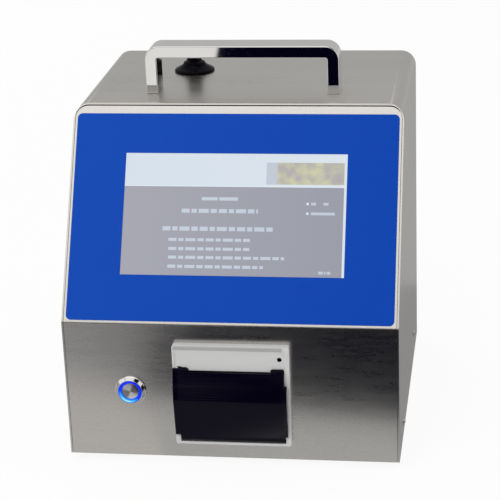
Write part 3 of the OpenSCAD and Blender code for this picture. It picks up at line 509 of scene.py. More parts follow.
@dataclass(frozen=True)
class LitRing:
    """Translucent ring lit from behind by diodes, with a painted highlight on one side and on its inner wall.
    """

    name: str
    centre: tuple[float, float, float]
    painted_highlight_deg: float = 246.0
    far: Colour = (0.0, 0.006, 0.86)
    beside: Colour = (0.001, 0.06, 1.0)
    bright: Colour = (0.10, 0.80, 1.0)
    brightest: Colour = (0.60, 1.0, 1.0)
    painted_wall_highlight_mm: tuple[float, float] = (6.6, 7.5)

    def material(self) -> bpy.types.Material:
        """The glow rises with the share of one direction, (x cos b + z sin b) / r; that side's extra
        brightness is a painted highlight.
        """
        r = Recipe(self.name)
        x, _, z = r.axes(r.place(centre=self.centre))
        radius = (x * x + z * z + 1e-9) ** 0.5
        angle = math.radians(self.painted_highlight_deg)
        side = (x * math.cos(angle) + z * math.sin(angle)) / radius
        rim = r.noise(r.place(), 420.0, 2.0, 0.5)
        # painted highlight: a band of radii over the ring's inner wall and the side facing one direction glow
        # brighter in the emission
        streak = (radius * 1000.0).between(*self.painted_wall_highlight_mm, 0.35)
        near = side.spread(0.25, 1.0, 0.0, 1.0)
        painted_highlight = near * (streak * 0.75 + 0.25) + (rim - 0.5) * 0.12
        deep = r.blend(side.spread(-1.0, 0.3, 0.0, 1.0) * 0.5 + streak * 0.3, self.far, self.beside)
        glow = r.blend(painted_highlight, deep, self.bright)
        r.set(Base_Color=(0.0, 0.005, 0.06), Roughness=0.2, Specular_IOR_Level=0.12,
              Emission_Color=r.blend(painted_highlight.spread(0.65, 1.05, 0.0, 0.7), glow, self.brightest),
              Emission_Strength=0.95)
        return r.material


@dataclass(frozen=True)
class LitField:
    """A field of the lit display: even colour with fine pixel rows and a slow fall-off."""

    name: str
    colour: Colour
    far_colour: Colour
    pixel: float = 0.0003
    cloud: float = 0.0
    limits: tuple[float, float] = (-0.076, 0.077)

    def material(self) -> bpy.types.Material:
        """Rows come from two sine waves; the colour drifts from left to right."""
        r = Recipe(self.name)
        x, _, z = r.axes(r.place())
        rows = (x * (2 * math.pi / self.pixel)).maths("SINE") * (z * (2 * math.pi / self.pixel)).maths("SINE")
        drift = x.spread(*self.limits, 0.0, 1.0)
        patch = r.noise(r.place(), 130.0, 3.0, 0.5).at_least(0.5, 0.2)
        shown = r.blend(patch * self.cloud + drift * (1 - self.cloud), self.colour, self.far_colour)
        dark = tuple(c * 0.92 for c in self.colour)
        r.set(Base_Color=(0.01, 0.01, 0.012), Roughness=0.3, Specular_IOR_Level=0.1,
              Emission_Color=r.blend(rows * 0.05 + 0.05, shown, dark), Emission_Strength=0.93)
        return r.material


@dataclass(frozen=True)
class PrintedFilm:
    """Blue film printed on its back: satin face, faint orange peel and print grain."""

    name: str
    colour: Colour
    half_width: float = 0.112
    palest: Colour = (2.6, 1.22, 1.06)

    def material(self) -> bpy.types.Material:
        """A slow cloud varies the ink; fine noise gives the satin face."""
        r = Recipe(self.name)
        x, _, _ = r.axes(r.place())
        cloud = r.noise(r.place(), 14.0, 3.0, 0.5)
        grain = r.noise(r.place(), 1800.0, 2.0, 0.5)
        haze = r.noise(r.place(), 260.0, 2.0, 0.5)
        fall = x.spread(-self.half_width, self.half_width, 0.75, 0.25)
        drift = fall + (cloud - 0.5) * 0.5 + (grain - 0.5) * 0.12
        pale = tuple(min(1.0, c * gain) for c, gain in zip(self.colour, self.palest))
        r.set(Base_Color=r.blend(drift, self.colour, pale), Specular_IOR_Level=0.035,
              Roughness=(cloud - 0.5) * 0.1 + 0.34, Normal=r.bump(haze, 0.000002))
        return r.material


@dataclass(frozen=True)
class Wound:
    """Paper wound on a roll: smooth outside, fine turns on both ends."""

    name: str
    colour: Colour
    centre: tuple[float, float, float]
    turn: float = 0.0005

    def material(self) -> bpy.types.Material:
        """Turns follow the distance from the roll's axis."""
        r = Recipe(self.name)
        _, y, z = r.axes(r.place(centre=self.centre))
        radius = (y * y + z * z) ** 0.5
        rings = (radius * (2 * math.pi / self.turn)).maths("SINE") * 0.5 + 0.5
        fibre = r.noise(r.place(), 2400.0, 2.0, 0.6)
        grey = tuple(c * 0.78 for c in self.colour)
        r.set(Base_Color=r.blend(rings * 0.4 + fibre * 0.2, self.colour, grey), Roughness=fibre * 0.1 + 0.55,
              Normal=r.bump(rings * 0.4 + fibre * 0.2, 0.00002))
        return r.material


@dataclass(frozen=True)
class Moulded:
    """Plastic, rubber or paint with a fine spark-eroded texture."""

    name: str
    colour: Colour
    roughness: float = 0.5
    texture: float = 0.00002
    pitch: float = 1400.0
    mottle: float = 0.06
    coat: float = 0.0
    alpha: float = 1.0
    shine: float = 0.5
    groove: tuple[float, float] | None = None
    groove_x: tuple[float, float] = (-0.0375, 0.0368)
    painted_shade_depth: float = 0.55

    def material(self) -> bpy.types.Material:
        """Small cells give the texture; a slow cloud varies colour and gloss; an optional band is darkened as
        painted shade.
        """
        r = Recipe(self.name)
        cells = r.noise(r.place(), self.pitch, 2.0, 0.6)
        cloud = r.noise(r.place(), 22.0, 3.0, 0.5)
        low = tuple(max(0.0, c * (1 - self.mottle * 2.5)) for c in self.colour)
        high = tuple(min(1.0, c * (1 + self.mottle)) for c in self.colour)
        colour = r.blend(cloud, low, high)
        if self.groove:
            # painted shade: the band across groove by z and groove_x by x is darkened where shade falls under
            # the rim
            x, _, z = r.axes(r.place())
            painted_shade = z.between(*self.groove, 0.0003) * x.between(*self.groove_x, 0.0008)
            colour = r.blend(painted_shade * 0.75, colour, tuple(c * self.painted_shade_depth for c in self.colour))
        r.set(Base_Color=colour,
              Roughness=(cloud - 0.5) * 0.12 + (cells - 0.5) * 0.08 + self.roughness,
              Normal=r.bump(cells, self.texture), Coat_Weight=self.coat, Alpha=self.alpha,
              Specular_IOR_Level=self.shine)
        return r.material


@dataclass(frozen=True)
class CastMetal:
    """Cast or anodised metal with a sandy skin."""

    name: str
    colour: Colour
    roughness: float = 0.45
    metallic: float = 0.8
    skin: float = 0.00003
    pitch: float = 1100.0

    def material(self) -> bpy.types.Material:
        """Sandy noise for height, a slow cloud for colour."""
        r = Recipe(self.name)
        sand = r.noise(r.place(), self.pitch, 3.0, 0.6)
        cloud = r.noise(r.place(), 30.0, 2.0, 0.5)
        low, high = tuple(c * 0.85 for c in self.colour), tuple(min(1, c * 1.1) for c in self.colour)
        r.set(Base_Color=r.blend(cloud, low, high),
              Metallic=self.metallic, Roughness=(sand - 0.5) * 0.15 + self.roughness,
              Normal=r.bump(sand, self.skin))
        return r.material


@dataclass(frozen=True)
class BoardMask:
    """Green solder mask with tracks, pads and a faint weave."""

    name: str
    colour: Colour = (0.015, 0.12, 0.055)

    def material(self) -> bpy.types.Material:
        """Tracks come from a squared-off cell pattern, pads from a small round one."""
        r = Recipe(self.name)
        here = r.place()
        tracks = r.node("ShaderNodeTexBrick", {"offset": 0.37, "squash": 0.6}, {
            "Vector": here, "Scale": 120.0, "Mortar Size": 0.06, "Bias": 0.0,
            "Color1": (1, 1, 1), "Color2": (1, 1, 1), "Mortar": (0, 0, 0)}, "Fac")
        cells = r.node("ShaderNodeTexVoronoi", {}, {"Vector": here, "Scale": 320.0}, "Distance")
        pads = 1 - cells.at_least(0.22, 0.03)
        weave = r.noise(here, 2500.0, 1.0)
        green = r.blend(tracks * 0.6, self.colour, tuple(c * 2.1 for c in self.colour))
        r.set(Base_Color=r.blend(pads * 0.8, green, (0.55, 0.52, 0.45)), Metallic=pads * 0.8,
              Roughness=weave * 0.1 + 0.34, Normal=r.bump(tracks * 0.5 + pads + weave * 0.1, 0.00003))
        return r.material


STEEL: Colour = (0.575, 0.562, 0.545)
COVER = BrushedSheet("cover_brushed", STEEL, Grain.ACROSS, 0.30, 0.26)
PANEL = BrushedSheet("panel_brushed", STEEL, Grain.SHORT, 0.27, 0.20, 0.0000003)
ZINC = BrushedSheet("zinc_sheet", (0.5, 0.51, 0.52), Grain.BACK, 0.38)
SCREW = CastMetal("screw_steel", (0.62, 0.61, 0.6), 0.28, 1.0, 0.000005)
MIRROR = Polished("mirror_bar", (0.78, 0.775, 0.77))
HEAD = Polished("button_head", (0.70, 0.69, 0.68), 0.07)
RUBBER = Moulded("black_rubber", (0.018, 0.018, 0.019), 0.62, 0.00004)
ANODISED = CastMetal("black_anodised", (0.02, 0.02, 0.022), 0.3, 0.6, 0.00001)
INLET_BLACK = Moulded("inlet_black", (0.0008, 0.0007, 0.0026), 0.2, 0.000002, 700.0, shine=0.05)
ALUMINIUM = CastMetal("bare_aluminium", (0.66, 0.66, 0.67), 0.34, 1.0, 0.00001)
CASTING = CastMetal("cast_grey", (0.3, 0.31, 0.33), 0.5, 0.7, 0.00006)
BRASS = CastMetal("brass_turned", (0.72, 0.55, 0.27), 0.26, 1.0, 0.000005)
# groove marks the bezel's slanted strip under its rim, darkened as painted shade
WHITE = Moulded("white_moulding", (0.60, 0.60, 0.597), 0.42, 0.000008, 1100.0, 0.03, groove=(0.0884, 0.0914))
GREY = Moulded("grey_moulding", (0.10, 0.10, 0.105), 0.5)
BLACK = Moulded("black_moulding", (0.012, 0.012, 0.013), 0.45)
LAMP = Moulded("lamp_lens", (0.001, 0.001, 0.002), 0.2, shine=0.1)
NYLON = Moulded("white_nylon", (0.75, 0.75, 0.72), 0.4)
TUBE = Moulded("silicone_hose", (0.62, 0.64, 0.63), 0.35, 0.00001, 500.0, 0.1, 0.3)
CAPSULE = Moulded("filter_capsule", (0.74, 0.76, 0.78), 0.25, 0.000005, 700.0, 0.05, 0.4)
WRAP = Moulded("battery_shrink", (0.02, 0.07, 0.25), 0.22, 0.00003, 300.0, 0.1, 0.5)
SMOKED = Moulded("smoked_door", (0.0016, 0.0009, 0.0065), 0.12, 0.0000005, 500.0, 0.05, alpha=0.97,
                 shine=0.12)
BOARD = BoardMask("board_mask")
FILM = PrintedFilm("blue_film", (0.0016, 0.0495, 0.375))
GLASS_EDGE = Moulded("glass_edge", (0.004, 0.005, 0.008), 0.12, 0.0, shine=0.2)
BAND = LitField("lit_band", (0.71, 0.79, 0.88), (0.74, 0.81, 0.88))
FIELD = LitField("lit_field", (0.395, 0.40, 0.455), (0.33, 0.34, 0.40))
LINES = LitField("lit_lines", (0.60, 0.66, 0.76), (0.56, 0.62, 0.72))
BRIGHT = LitField("lit_bright", (0.80, 0.86, 0.94), (0.80, 0.86, 0.94))
PICTURE = LitField("lit_picture", (0.66, 0.66, 0.42), (0.44, 0.42, 0.44), cloud=0.85)
FADE = LitField("lit_fade", (0.52, 0.60, 0.84), (0.60, 0.62, 0.60), cloud=0.3)


# ----------------------------------------------------------------- the dresser


class Dresser:
    """Gives finishes to CAD nodes and ties new pieces to bodies."""

    def __init__(self, frame: dict) -> None:
        """Keeps the loaded frame and each node's slot."""
        self.nodes = frame["nodes"]
        self.slots = {part["node"]: part["material_slot"] for part in frame["record"]["subparts"]}
        self.cache: dict[str, bpy.types.Material] = {}

    def of(self, finish: object) -> bpy.types.Material:
        """The material of a finish, made once."""
        if finish.name not in self.cache:
            self.cache[finish.name] = finish.material()
        return self.cache[finish.name]

    def paint(self, finish: object, *names: str) -> None:
        """Gives CAD nodes a finish on every slot."""
        material = self.of(finish)
        for name in names:
            data = self.nodes[name].data
            if not data.materials:
                data.materials.append(material)
            for i in range(len(data.materials)):
                data.materials[i] = material
            log.info("node %s: %s", name, material.name)

    def piece(self, obj: bpy.types.Object, finish: object, node: str,
              stands_in: bool = True) -> bpy.types.Object:
        """Finishes a new piece and ties it to a node's body.

        Args:
            obj: the piece.
            finish: its finish.
            node: the CAD node whose body it takes.
            stands_in: whether it replaces that node.

        Returns:
            The piece.
        """
        obj.data.materials.clear()
        obj.data.materials.append(self.of(finish))
        if stands_in:
            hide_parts(node)
        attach(obj, self.nodes[node]["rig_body"])
        log.info("piece %s: %d faces", obj.name, len(obj.data.polygons))
        return obj

    def soften(self, finish: object, edge: float, *names: str) -> None:
        """Replaces CAD nodes by smooth copies with rounded edges.

        Args:
            finish: their finish.
            edge: radius of the rounding in millimetres, or 0 for smooth faces only.
            names: the nodes.
        """
        for name in names:
            data = self.nodes[name].data.copy()
            obj = bpy.data.objects.new(f"{name}_fine", data)
            bpy.context.scene.collection.objects.link(obj)
            Surface.finish(obj, edge, flat_deg=FLAT_DEG if edge else 0.0)
            self.piece(obj, finish, name)


# ------------------------------------------------------------- sub-assemblies


@dataclass
class Handle:
    """Square-edged polished bar bent to a U."""

    pitch: float = 128.3
    height: float = 34.0
    thick: float = 8.4
    wide: float = 20.0
    middle_y: float = 115.0
    inside_r: float = 1.2
    edge: float = 0.7
    bend_steps: int = 15

    def build(self, dress: Dresser) -> None:
        """Carries the bar's section along both legs, both bends and the grip.

        With outward normal n and path point p, a section point (u, v) goes to
        (px + u nx, middle_y + v, pz + u nz).
        """
        bend = self.inside_r + self.thick / 2
        x, z = self.pitch / 2, self.height - self.thick / 2 - bend
        t = np.linspace(0, math.pi / 2, self.bend_steps)
        left = np.stack([-np.cos(t), np.sin(t)], axis=1)
        right = np.stack([np.sin(t), np.cos(t)], axis=1)
        normal = np.concatenate([left[:1], left, right, right[-1:]])
        path = np.concatenate([
            [[-x, 0]], [-x + bend, z] + bend * left, [x - bend, z] + bend * right, [[x, 0]]])
        u, v = self.thick / 2, self.wide / 2
        section = np.array([[-u, -v], [u, -v], [u, v], [-u, v]])
        rows = np.stack([
            path[:, None, 0] + section[None, :, 0] * normal[:, None, 0],
            self.middle_y + section[None, :, 1] + 0 * path[:, None, 0],
            CASE_H + path[:, None, 1] + section[None, :, 0] * normal[:, None, 1]], axis=-1)
        faces = Surface.skin(rows, close_v=True).tolist()
        last = (len(rows) - 1) * 4
        faces += [[0, 1, 2, 3], [last + 3, last + 2, last + 1, last]]
        bar = Surface.mesh("handle_bar", in_case(rows), faces)
        Surface.finish(bar, self.edge)
        dress.piece(bar, MIRROR, "handle")


@dataclass
class Inlet:
    """Turned sampling inlet with a conical flange and a hose neck."""

    x: float = -44.4
    y: float = 168.0
    flange_r: float = 14.7
    neck_r: float = 5.4
    bore_r: float = 3.5
    top: float = 22.0

    def build(self, dress: Dresser) -> None:
        """Turns the inlet's outline; the cone has a shallow hollow below its collar."""
        outline = Surface.rounded(np.array([
            [self.bore_r, -30], [4.1, -30], [4.5, -28.5], [4.5, -16], [7.5, -16], [7.5, 0.02],
            [self.flange_r - 0.4, 0.02], [self.flange_r, 0.4], [self.flange_r, 1.1],
            [self.flange_r - 0.6, 1.7],
            [11.2, 3.2], [9.0, 4.6], [self.neck_r + 2.6, 5.7], [self.neck_r + 2.6, 6.5],
            [self.neck_r + 0.7, 7.6], [self.neck_r, 7.9], [self.neck_r, self.top - 0.9],
            [self.neck_r - 0.9, self.top], [self.bore_r, self.top]]), 0.5, 4)
        turned = Surface.lathe("inlet_turned", outline, lambda p: in_case(p + [self.x, self.y, CASE_H]))
        dress.piece(turned, INLET_BLACK, "sampling_inlet")


@dataclass
class Button:
    """Push button: polished head, lit ring and turned cap on one axis."""

    x: float = -69.5
    z: float = 49.4
    head_r: float = 10.8
    ring_r: float = 8.15
    cap_r: float = 5.95

    def place(self, points: Grid) -> Grid:
        """Puts turned points on the button's axis, which points to the front."""
        x, y, h = points[..., 0], points[..., 1], points[..., 2]
        return in_case(np.stack([x + self.x, -h, y + self.z], axis=-1))

    def centre(self) -> tuple[float, float, float]:
        """The button's centre in the part's frame."""
        return (self.x * MM, FRONT_Y * MM, (self.z + FOOT_H) * MM)

    def build(self, dress: Dresser) -> None:
        """Turns the three outlines."""
        head = Surface.rounded(np.array([
            [self.cap_r + 0.1, -22], [9.4, -22], [9.4, 0.02], [self.head_r - 0.2, 0.02], [self.head_r, 0.2],
            [self.head_r, 0.9], [self.head_r - 0.5, 1.2], [self.ring_r + 0.55, 3.15],
            [self.ring_r + 0.35, 3.3],
            [self.ring_r + 0.02, 3.3], [self.ring_r + 0.02, 0.9], [self.cap_r + 0.1, 0.9]]), 0.14, 4)
        dress.piece(Surface.lathe("button_head", head, self.place), HEAD, "button_housing")
        ring = Surface.rounded(np.array([
            [self.cap_r + 0.1, 0.92], [self.ring_r - 0.02, 0.92], [self.ring_r - 0.02, 3.45],
            [self.ring_r - 0.35, 3.7], [self.ring_r - 0.85, 3.65], [self.cap_r + 0.1, 2.4]]), 0.25, 5)
        dress.piece(Surface.lathe("button_glow", ring, self.place),
                    LitRing("ring_lit", self.centre()), "button_ring")
        cap = np.array([[0.0, -10], [self.cap_r, -10], [self.cap_r, 1.75], [self.cap_r - 0.1, 1.95],
                        [self.cap_r - 0.35, 2.08], [4, 2.2], [2, 2.27], [0.0, 2.3]])
        # the cap's material paints a two-sided highlight into its colour
        dress.piece(Surface.lathe("button_face", cap, self.place),
                    TurnedWithPaintedGlint("cap_turned_painted_glint", (0.80, 0.79, 0.80), self.centre()), "button_cap")


@dataclass(frozen=True)
class TextRow:
    """A row of the display, drawn as plain word-long bars."""

    start: float
    stop: float
    middle: float
    height: float = 2.1
    words: tuple[float, ...] = (5.6, 3.6, 7.0, 4.4)
    gap: float = 1.3

    def bars(self) -> list[list[float]]:
        """Left, lower, right and upper limits of each bar; the last ends with the row."""
        made: list[list[float]] = []
        left, i = self.start, 0
        while left < self.stop - 1:
            right = min(left + self.words[i % len(self.words)], self.stop)
            made.append([left, self.middle - self.height / 2, right, self.middle + self.height / 2])
            left, i = right + self.gap, i + 1
        return made


@dataclass
class Display:
    """Blue film and the lit fields of the seven-inch panel, in the slope's frame."""

    middle_x: float = 0.7
    middle_v: float = 76.7
    wide: float = 153.4
    high: float = 85.4
    band_v: float = 97.0
    strip_x: float = 75.5
    margin: float = 0.7
    depth: float = 1.15
    rows: tuple[TextRow, ...] = (
        TextRow(-22.0, 3.2, 87.8, 2.3, (11.0, 12.8), 1.2), TextRow(-35.6, 17.2, 79.3, 2.8),
        TextRow(-48.3, 28.0, 66.8, 2.9), TextRow(-43.8, 12.6, 59.1), TextRow(-43.6, 12.3, 52.8),
        TextRow(-43.4, 36.4, 46.8), TextRow(-43.7, 22.2, 40.5),
        TextRow(53.4, 69.6, 84.9, 1.9, (3.4, 3.4), 5.0),
        TextRow(53.4, 69.8, 78.1, 1.9, (16.4,)), TextRow(59.8, 68.4, 37.4, 1.9, (3.2, 1.0, 2.4), 0.8))

    def fields(self) -> list[tuple[str, object, list[list[float]], float]]:
        """Name, finish, limits and height above the panel of each group of fields."""
        x0, x1 = self.middle_x - self.wide / 2 - self.margin, self.middle_x + self.wide / 2 + self.margin
        v0, v1 = self.middle_v - self.high / 2 - self.margin, self.middle_v + self.high / 2 + self.margin
        bars = [bar for row in self.rows for bar in row.bars()]
        dots = [[50.2, v - 0.8, 51.8, v + 0.8] for v in (84.9, 78.1)]
        return [
            ("screen_field", FIELD, [[x0, v0, self.strip_x, self.band_v - 0.7]], 0.0),
            ("screen_band", BAND, [[x0, self.band_v, x1, v1]], 0.0),
            ("screen_rule", BRIGHT, [[x0, self.band_v - 0.7, x1, self.band_v]], 0.0),
            ("screen_strip", BAND, [[self.strip_x, v0, x1, self.band_v - 0.7]], 0.0),
            ("screen_fade", FADE, [[22.0, 98.2, 29.5, 113.6]], 0.02),
            ("screen_picture", PICTURE, [[29.5, 98.2, 75.4, 113.6]], 0.02),
            ("screen_rows", LINES, bars, 0.02),
            ("screen_dots", BRIGHT, dots, 0.02)]

    def build(self, dress: Dresser) -> None:
        """Makes the fields and softens the film."""
        for name, finish, limits, rise in self.fields():
            tile = Surface.tiles(name, limits, self.depth - rise, self.depth + 0.04, on_slope)
            dress.piece(tile, finish, "lcd_module", stands_in=False)
        dress.soften(FILM, 0.12, "front_film")
        dress.paint(GLASS_EDGE, "touch_panel", "lcd_module")


@dataclass
class Case:
    """Steel sheets, feet, screws and rear fittings."""

    def build(self, dress: Dresser) -> None:
        """Softens the sheets and paints the small pieces."""
        dress.soften(COVER, 0.25, "case_cover", "rear_panel")
        dress.soften(PANEL, 0.18, "front_panel")
        dress.soften(RUBBER, 0.4, "rubber_feet")
        dress.soften(BLACK, 0.35, "mains_inlet")
        dress.soften(BRASS, 0.2, "exhaust_port")
        dress.paint(ALUMINIUM, "serial_port")
        dress.paint(ZINC, "base_tray", "equipment_shelf", "display_bracket")
        dress.paint(SCREW, "rear_screws", "side_screws", "foot_screws", "handle_screws", "display_nuts",
                    "button_nut", "fan_screws", "inlet_pins")
        dress.paint(BLACK, "fan_frame", "fan_rotor", "button_switch")
        dress.paint(RUBBER, "inlet_seal")


@dataclass
class Printer:
    """Slip printer: bezel, smoked door, platen, gears, head and roll."""

    roll_centre: tuple[float, float, float] = (0.0, -0.082, 0.04115)

    def build(self, dress: Dresser) -> None:
        """Softens the mouldings that show and paints the mechanism."""
        dress.soften(WHITE, 0.4, "printer_bezel")
        dress.soften(SMOKED, 0.0, "printer_door")
        dress.paint(GREY, "printer_case")
        dress.paint(LAMP, "printer_lamp")
        dress.soften(Wound("paper_wound", (0.84, 0.84, 0.82), self.roll_centre), 0.15, "paper_roll")
        dress.paint(ALUMINIUM, "print_head")
        dress.paint(CASTING, "printer_motor")
        dress.paint(NYLON, "drive_gear", "platen_gear")
        dress.paint(SCREW, "door_pin", "platen_shaft", "motor_shaft")
        dress.soften(RUBBER, 0.3, "platen_roller")


@dataclass
class Interior:
    """Air path and electronics."""

    def build(self, dress: Dresser) -> None:
        """Paints the pieces inside the case."""
        dress.paint(ANODISED, "optical_sensor")
        dress.paint(BRASS, "inlet_nut", "laser_module", "board_spacers")
        dress.paint(ALUMINIUM, "power_supply")
        dress.paint(CASTING, "air_pump")
        dress.paint(TUBE, "sample_tube", "suction_tube")
        dress.paint(CAPSULE, "exhaust_filter")
        dress.paint(WRAP, "battery_pack")
        dress.paint(BOARD, "display_board", "detector_board", "main_board")


# --------------------------------------------------------------------- studio


@dataclass(frozen=True)
class Card:
    """A glowing card round the part, with its corners in metres."""

    name: str
    glow: Colour
    corners: tuple[tuple[float, float, float], ...]


LAMPS = (
    ("key_light", (-0.45, -1.1, 1.25), (0, -0.05, 0.12), (1.1, 0.8), 12.5),
    ("top_light", (0.1, 0.3, 1.6), (0, 0.05, 0.2), (1.4, 1.1), 5.0),
    ("side_light", (1.5, -0.2, 0.8), (0, 0, 0.13), (0.9, 0.9), 4.0),
    ("rear_light", (-0.8, 1.4, 0.9), (0, 0, 0.15), (1.0, 0.9), 6.0),
)
BLACK_GLOW: Colour = (0.001, 0.001, 0.008)
DIM_GLOW: Colour = (0.01, 0.01, 0.016)
CARDS = (
    Card("soft_box", (1.38, 1.36, 1.34),
         ((-1.0, -1.3, 0.85), (0.55, -1.3, 0.85),
          (0.55, -0.75, 1.65), (-1.0, -0.75, 1.65))),
    Card("front_card", BLACK_GLOW,
         ((-0.1, -0.222, 0.002), (-0.26, -1.7, 0.002), (1.3, -1.7, 0.002),
          (1.3, -0.188, 0.002), (0.13, -0.188, 0.002))),
    Card("front_wall", DIM_GLOW,
         ((-1.2, -1.75, 0.0), (1.4, -1.75, 0.0),
          (1.4, -1.75, 0.62), (-1.2, -1.75, 0.62))),
    Card("left_card", (0.34, 0.34, 0.355),
         ((-0.21, -0.26, 0.003), (-0.3, -0.62, 0.003),
          (-0.13, -0.62, 0.003), (-0.088, -0.225, 0.003))),
    Card("left_floor", (0.7, 0.69, 0.68),
         ((-0.9, -0.117, 0.002), (-0.9, -0.25, 0.002), (-0.21, -0.26, 0.002),
          (-0.088, -0.224, 0.002), (-0.05, -0.117, 0.002))),
    Card("handle_card", (0.91, 0.9, 0.88),
         ((-1.2, -1.7, 0.003), (-0.262, -1.7, 0.003),
          (-0.15, -0.66, 0.003), (-0.9, -0.66, 0.003))),
    Card("side_near", (0.34, 0.34, 0.345),
         ((0.116, -0.185, 0.003), (0.6, -0.185, 0.003),
          (0.6, 0.22, 0.003), (0.116, 0.22, 0.003))),
    Card("side_far", (0.48, 0.48, 0.48),
         ((0.116, 0.22, 0.003), (0.7, 0.22, 0.003),
          (0.9, 1.6, 0.003), (0.116, 1.6, 0.003))),
    Card("left_box", (1.1, 1.09, 1.06),
         ((-1.3, -0.9, 0.35), (-1.3, 0.6, 0.35),
          (-1.2, 0.6, 1.4), (-1.2, -0.9, 1.4))),
    Card("overhead", (1.1, 1.09, 1.06),
         ((-1.1, -0.8, 1.5), (0.25, -0.8, 1.5),
          (0.25, 0.3, 1.5), (-1.1, 0.3, 1.5))),
    Card("right_box", (1.0, 0.99, 0.97),
         ((1.3, -0.7, 0.05), (1.3, 0.4, 0.05),
          (1.2, 0.4, 1.3), (1.2, -0.7, 1.3))),
    Card("right_low", (1.0, 0.99, 0.97),
         ((0.42, -0.32, 0.0), (0.42, -0.13, 0.0),
          (0.42, -0.13, 0.2), (0.42, -0.32, 0.2))),
    Card("upper_right", DIM_GLOW,
         ((0.28, -0.9, 1.0), (0.95, -0.9, 1.0),
          (0.95, 0.1, 1.0), (0.28, 0.1, 1.0))),
    Card("rear_box", (1.0, 1.0, 1.0),
         ((-0.8, 1.0, 1.0), (0.6, 1.0, 1.0),
          (0.6, 0.5, 1.7), (-0.8, 0.5, 1.7))),
)


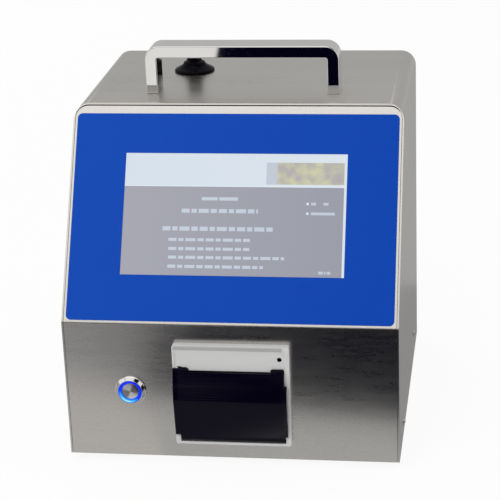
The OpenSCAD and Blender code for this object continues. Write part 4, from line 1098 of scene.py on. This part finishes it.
@dataclass
class Studio:
    """Pale floor and backdrop, soft lights, reflected cards and the camera."""

    lens: float = 129.52
    camera_at: tuple[float, float, float] = (0.18569, -1.21286, 0.57923)
    tilt: float = 69.352
    azimuth: float = 8.708
    roll: float = -2.238
    room_glow: Colour = (0.53, 0.525, 0.52)
    floor_glow: float = 0.60
    floor_white: float = 0.92

    def camera(self) -> None:
        """Sets the camera: turned by azimuth and tilt, then rolled about its own axis."""
        data = bpy.data.cameras.new("view_camera")
        data.lens = self.lens
        data.sensor_width = 36.0
        data.clip_start, data.clip_end = 0.05, 30.0
        cam = bpy.data.objects.new("view_camera", data)
        bpy.context.scene.collection.objects.link(cam)
        turn = Euler((math.radians(self.tilt), 0, math.radians(self.azimuth)), "XYZ").to_matrix()
        turn = turn @ Matrix.Rotation(math.radians(self.roll), 3, "Z")
        cam.matrix_world = Matrix.Translation(Vector(self.camera_at)) @ turn.to_4x4()
        bpy.context.scene.camera = cam

    def lamp(self, name: str, at: Sequence[float], aim: Sequence[float], size: tuple[float, float],
             watts: float) -> None:
        """Adds a soft rectangular light that polished metal doesn't mirror."""
        data = bpy.data.lights.new(name, "AREA")
        data.shape = "RECTANGLE"
        data.size, data.size_y = size
        data.energy = watts
        obj = bpy.data.objects.new(name, data)
        bpy.context.scene.collection.objects.link(obj)
        obj.location = at
        obj.rotation_euler = (Vector(aim) - Vector(at)).to_track_quat("-Z", "Y").to_euler()
        obj.visible_glossy = False

    def quad(self, name: str, corners: Sequence[Sequence[float]],
             material: bpy.types.Material) -> bpy.types.Object:
        """A flat piece of the studio."""
        obj = Surface.mesh(name, np.asarray(corners, float), [tuple(range(len(corners)))])
        obj.data.materials.append(material)
        return obj

    def card(self, card: Card) -> None:
        """Makes a card of even brightness that only mirrors see."""
        r = Recipe(f"{card.name}_glow")
        shine = r.node("ShaderNodeEmission", {}, {"Color": card.glow, "Strength": 1.0})
        r.tree.links.new(shine.socket, r.output.inputs["Surface"])
        obj = self.quad(card.name, card.corners, r.material)
        obj.visible_camera = obj.visible_diffuse = False
        obj.visible_shadow = obj.visible_transmission = False

    def floor(self) -> None:
        """Matt floor: white to the camera and through glass, grey to mirrors."""
        r = Recipe("floor_white")
        r.set(Base_Color=(0.8, 0.8, 0.8), Roughness=0.9, Specular_IOR_Level=0.1)
        eye = r.node("ShaderNodeLightPath", {}, {}, "Is Camera Ray")
        outs = eye.socket.node.outputs
        through = Signal(r, outs["Is Transmission Ray"])
        mirror = Signal(r, outs["Is Glossy Ray"])
        white = eye.maths("MAXIMUM", through)
        strength = white + mirror * self.floor_glow
        glow = r.node("ShaderNodeEmission", {}, {"Color": (1, 1, 1), "Strength": strength})
        mixed = r.node("ShaderNodeMixShader", {}, {
            0: (white * self.floor_white).maths("MAXIMUM", mirror),
            1: Signal(r, r.shader.outputs[0]), 2: glow})
        r.tree.links.new(mixed.socket, r.output.inputs["Surface"])
        self.quad("studio_floor", [(-6, -6, 0), (6, -6, 0), (6, 6, 0), (-6, 6, 0)], r.material)

    def world(self) -> None:
        """White to the camera and through glass, a grey room to everything else."""
        world = bpy.data.worlds.new("studio_world")
        bpy.context.scene.world = world
        world.use_nodes = True
        tree = world.node_tree
        tree.nodes.clear()
        out = tree.nodes.new("ShaderNodeOutputWorld")
        path = tree.nodes.new("ShaderNodeLightPath")
        seen = tree.nodes.new("ShaderNodeMath")
        seen.operation = "MAXIMUM"
        room, white = (tree.nodes.new("ShaderNodeBackground") for _ in range(2))
        mix = tree.nodes.new("ShaderNodeMixShader")
        room.inputs["Color"].default_value = (*self.room_glow, 1)
        white.inputs["Color"].default_value = (1, 1, 1, 1)
        tree.links.new(path.outputs["Is Camera Ray"], seen.inputs[0])
        tree.links.new(path.outputs["Is Transmission Ray"], seen.inputs[1])
        tree.links.new(seen.outputs[0], mix.inputs[0])
        tree.links.new(room.outputs[0], mix.inputs[1])
        tree.links.new(white.outputs[0], mix.inputs[2])
        tree.links.new(mix.outputs[0], out.inputs["Surface"])

    def cards(self) -> None:
        """Cards that the steel, the handle and the door mirror."""
        for card in CARDS:
            self.card(card)

    def build(self) -> None:
        """Puts floor, world, cards, lamps and camera in place."""
        bpy.context.scene.view_settings.view_transform = "Standard"
        self.world()
        self.floor()
        self.cards()
        for name, at, aim, size, watts in LAMPS:
            self.lamp(name, at, aim, size, watts)
        self.camera()


def main() -> None:
    """Builds the dressed model."""
    logging.basicConfig(level=logging.INFO, format="%(message)s")
    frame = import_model()
    Studio().build()
    dress = Dresser(frame)
    for part in (Case(), Handle(), Inlet(), Display(), Printer(), Button(), Interior()):
        part.build(dress)


if __name__ == "__main__":
    main()
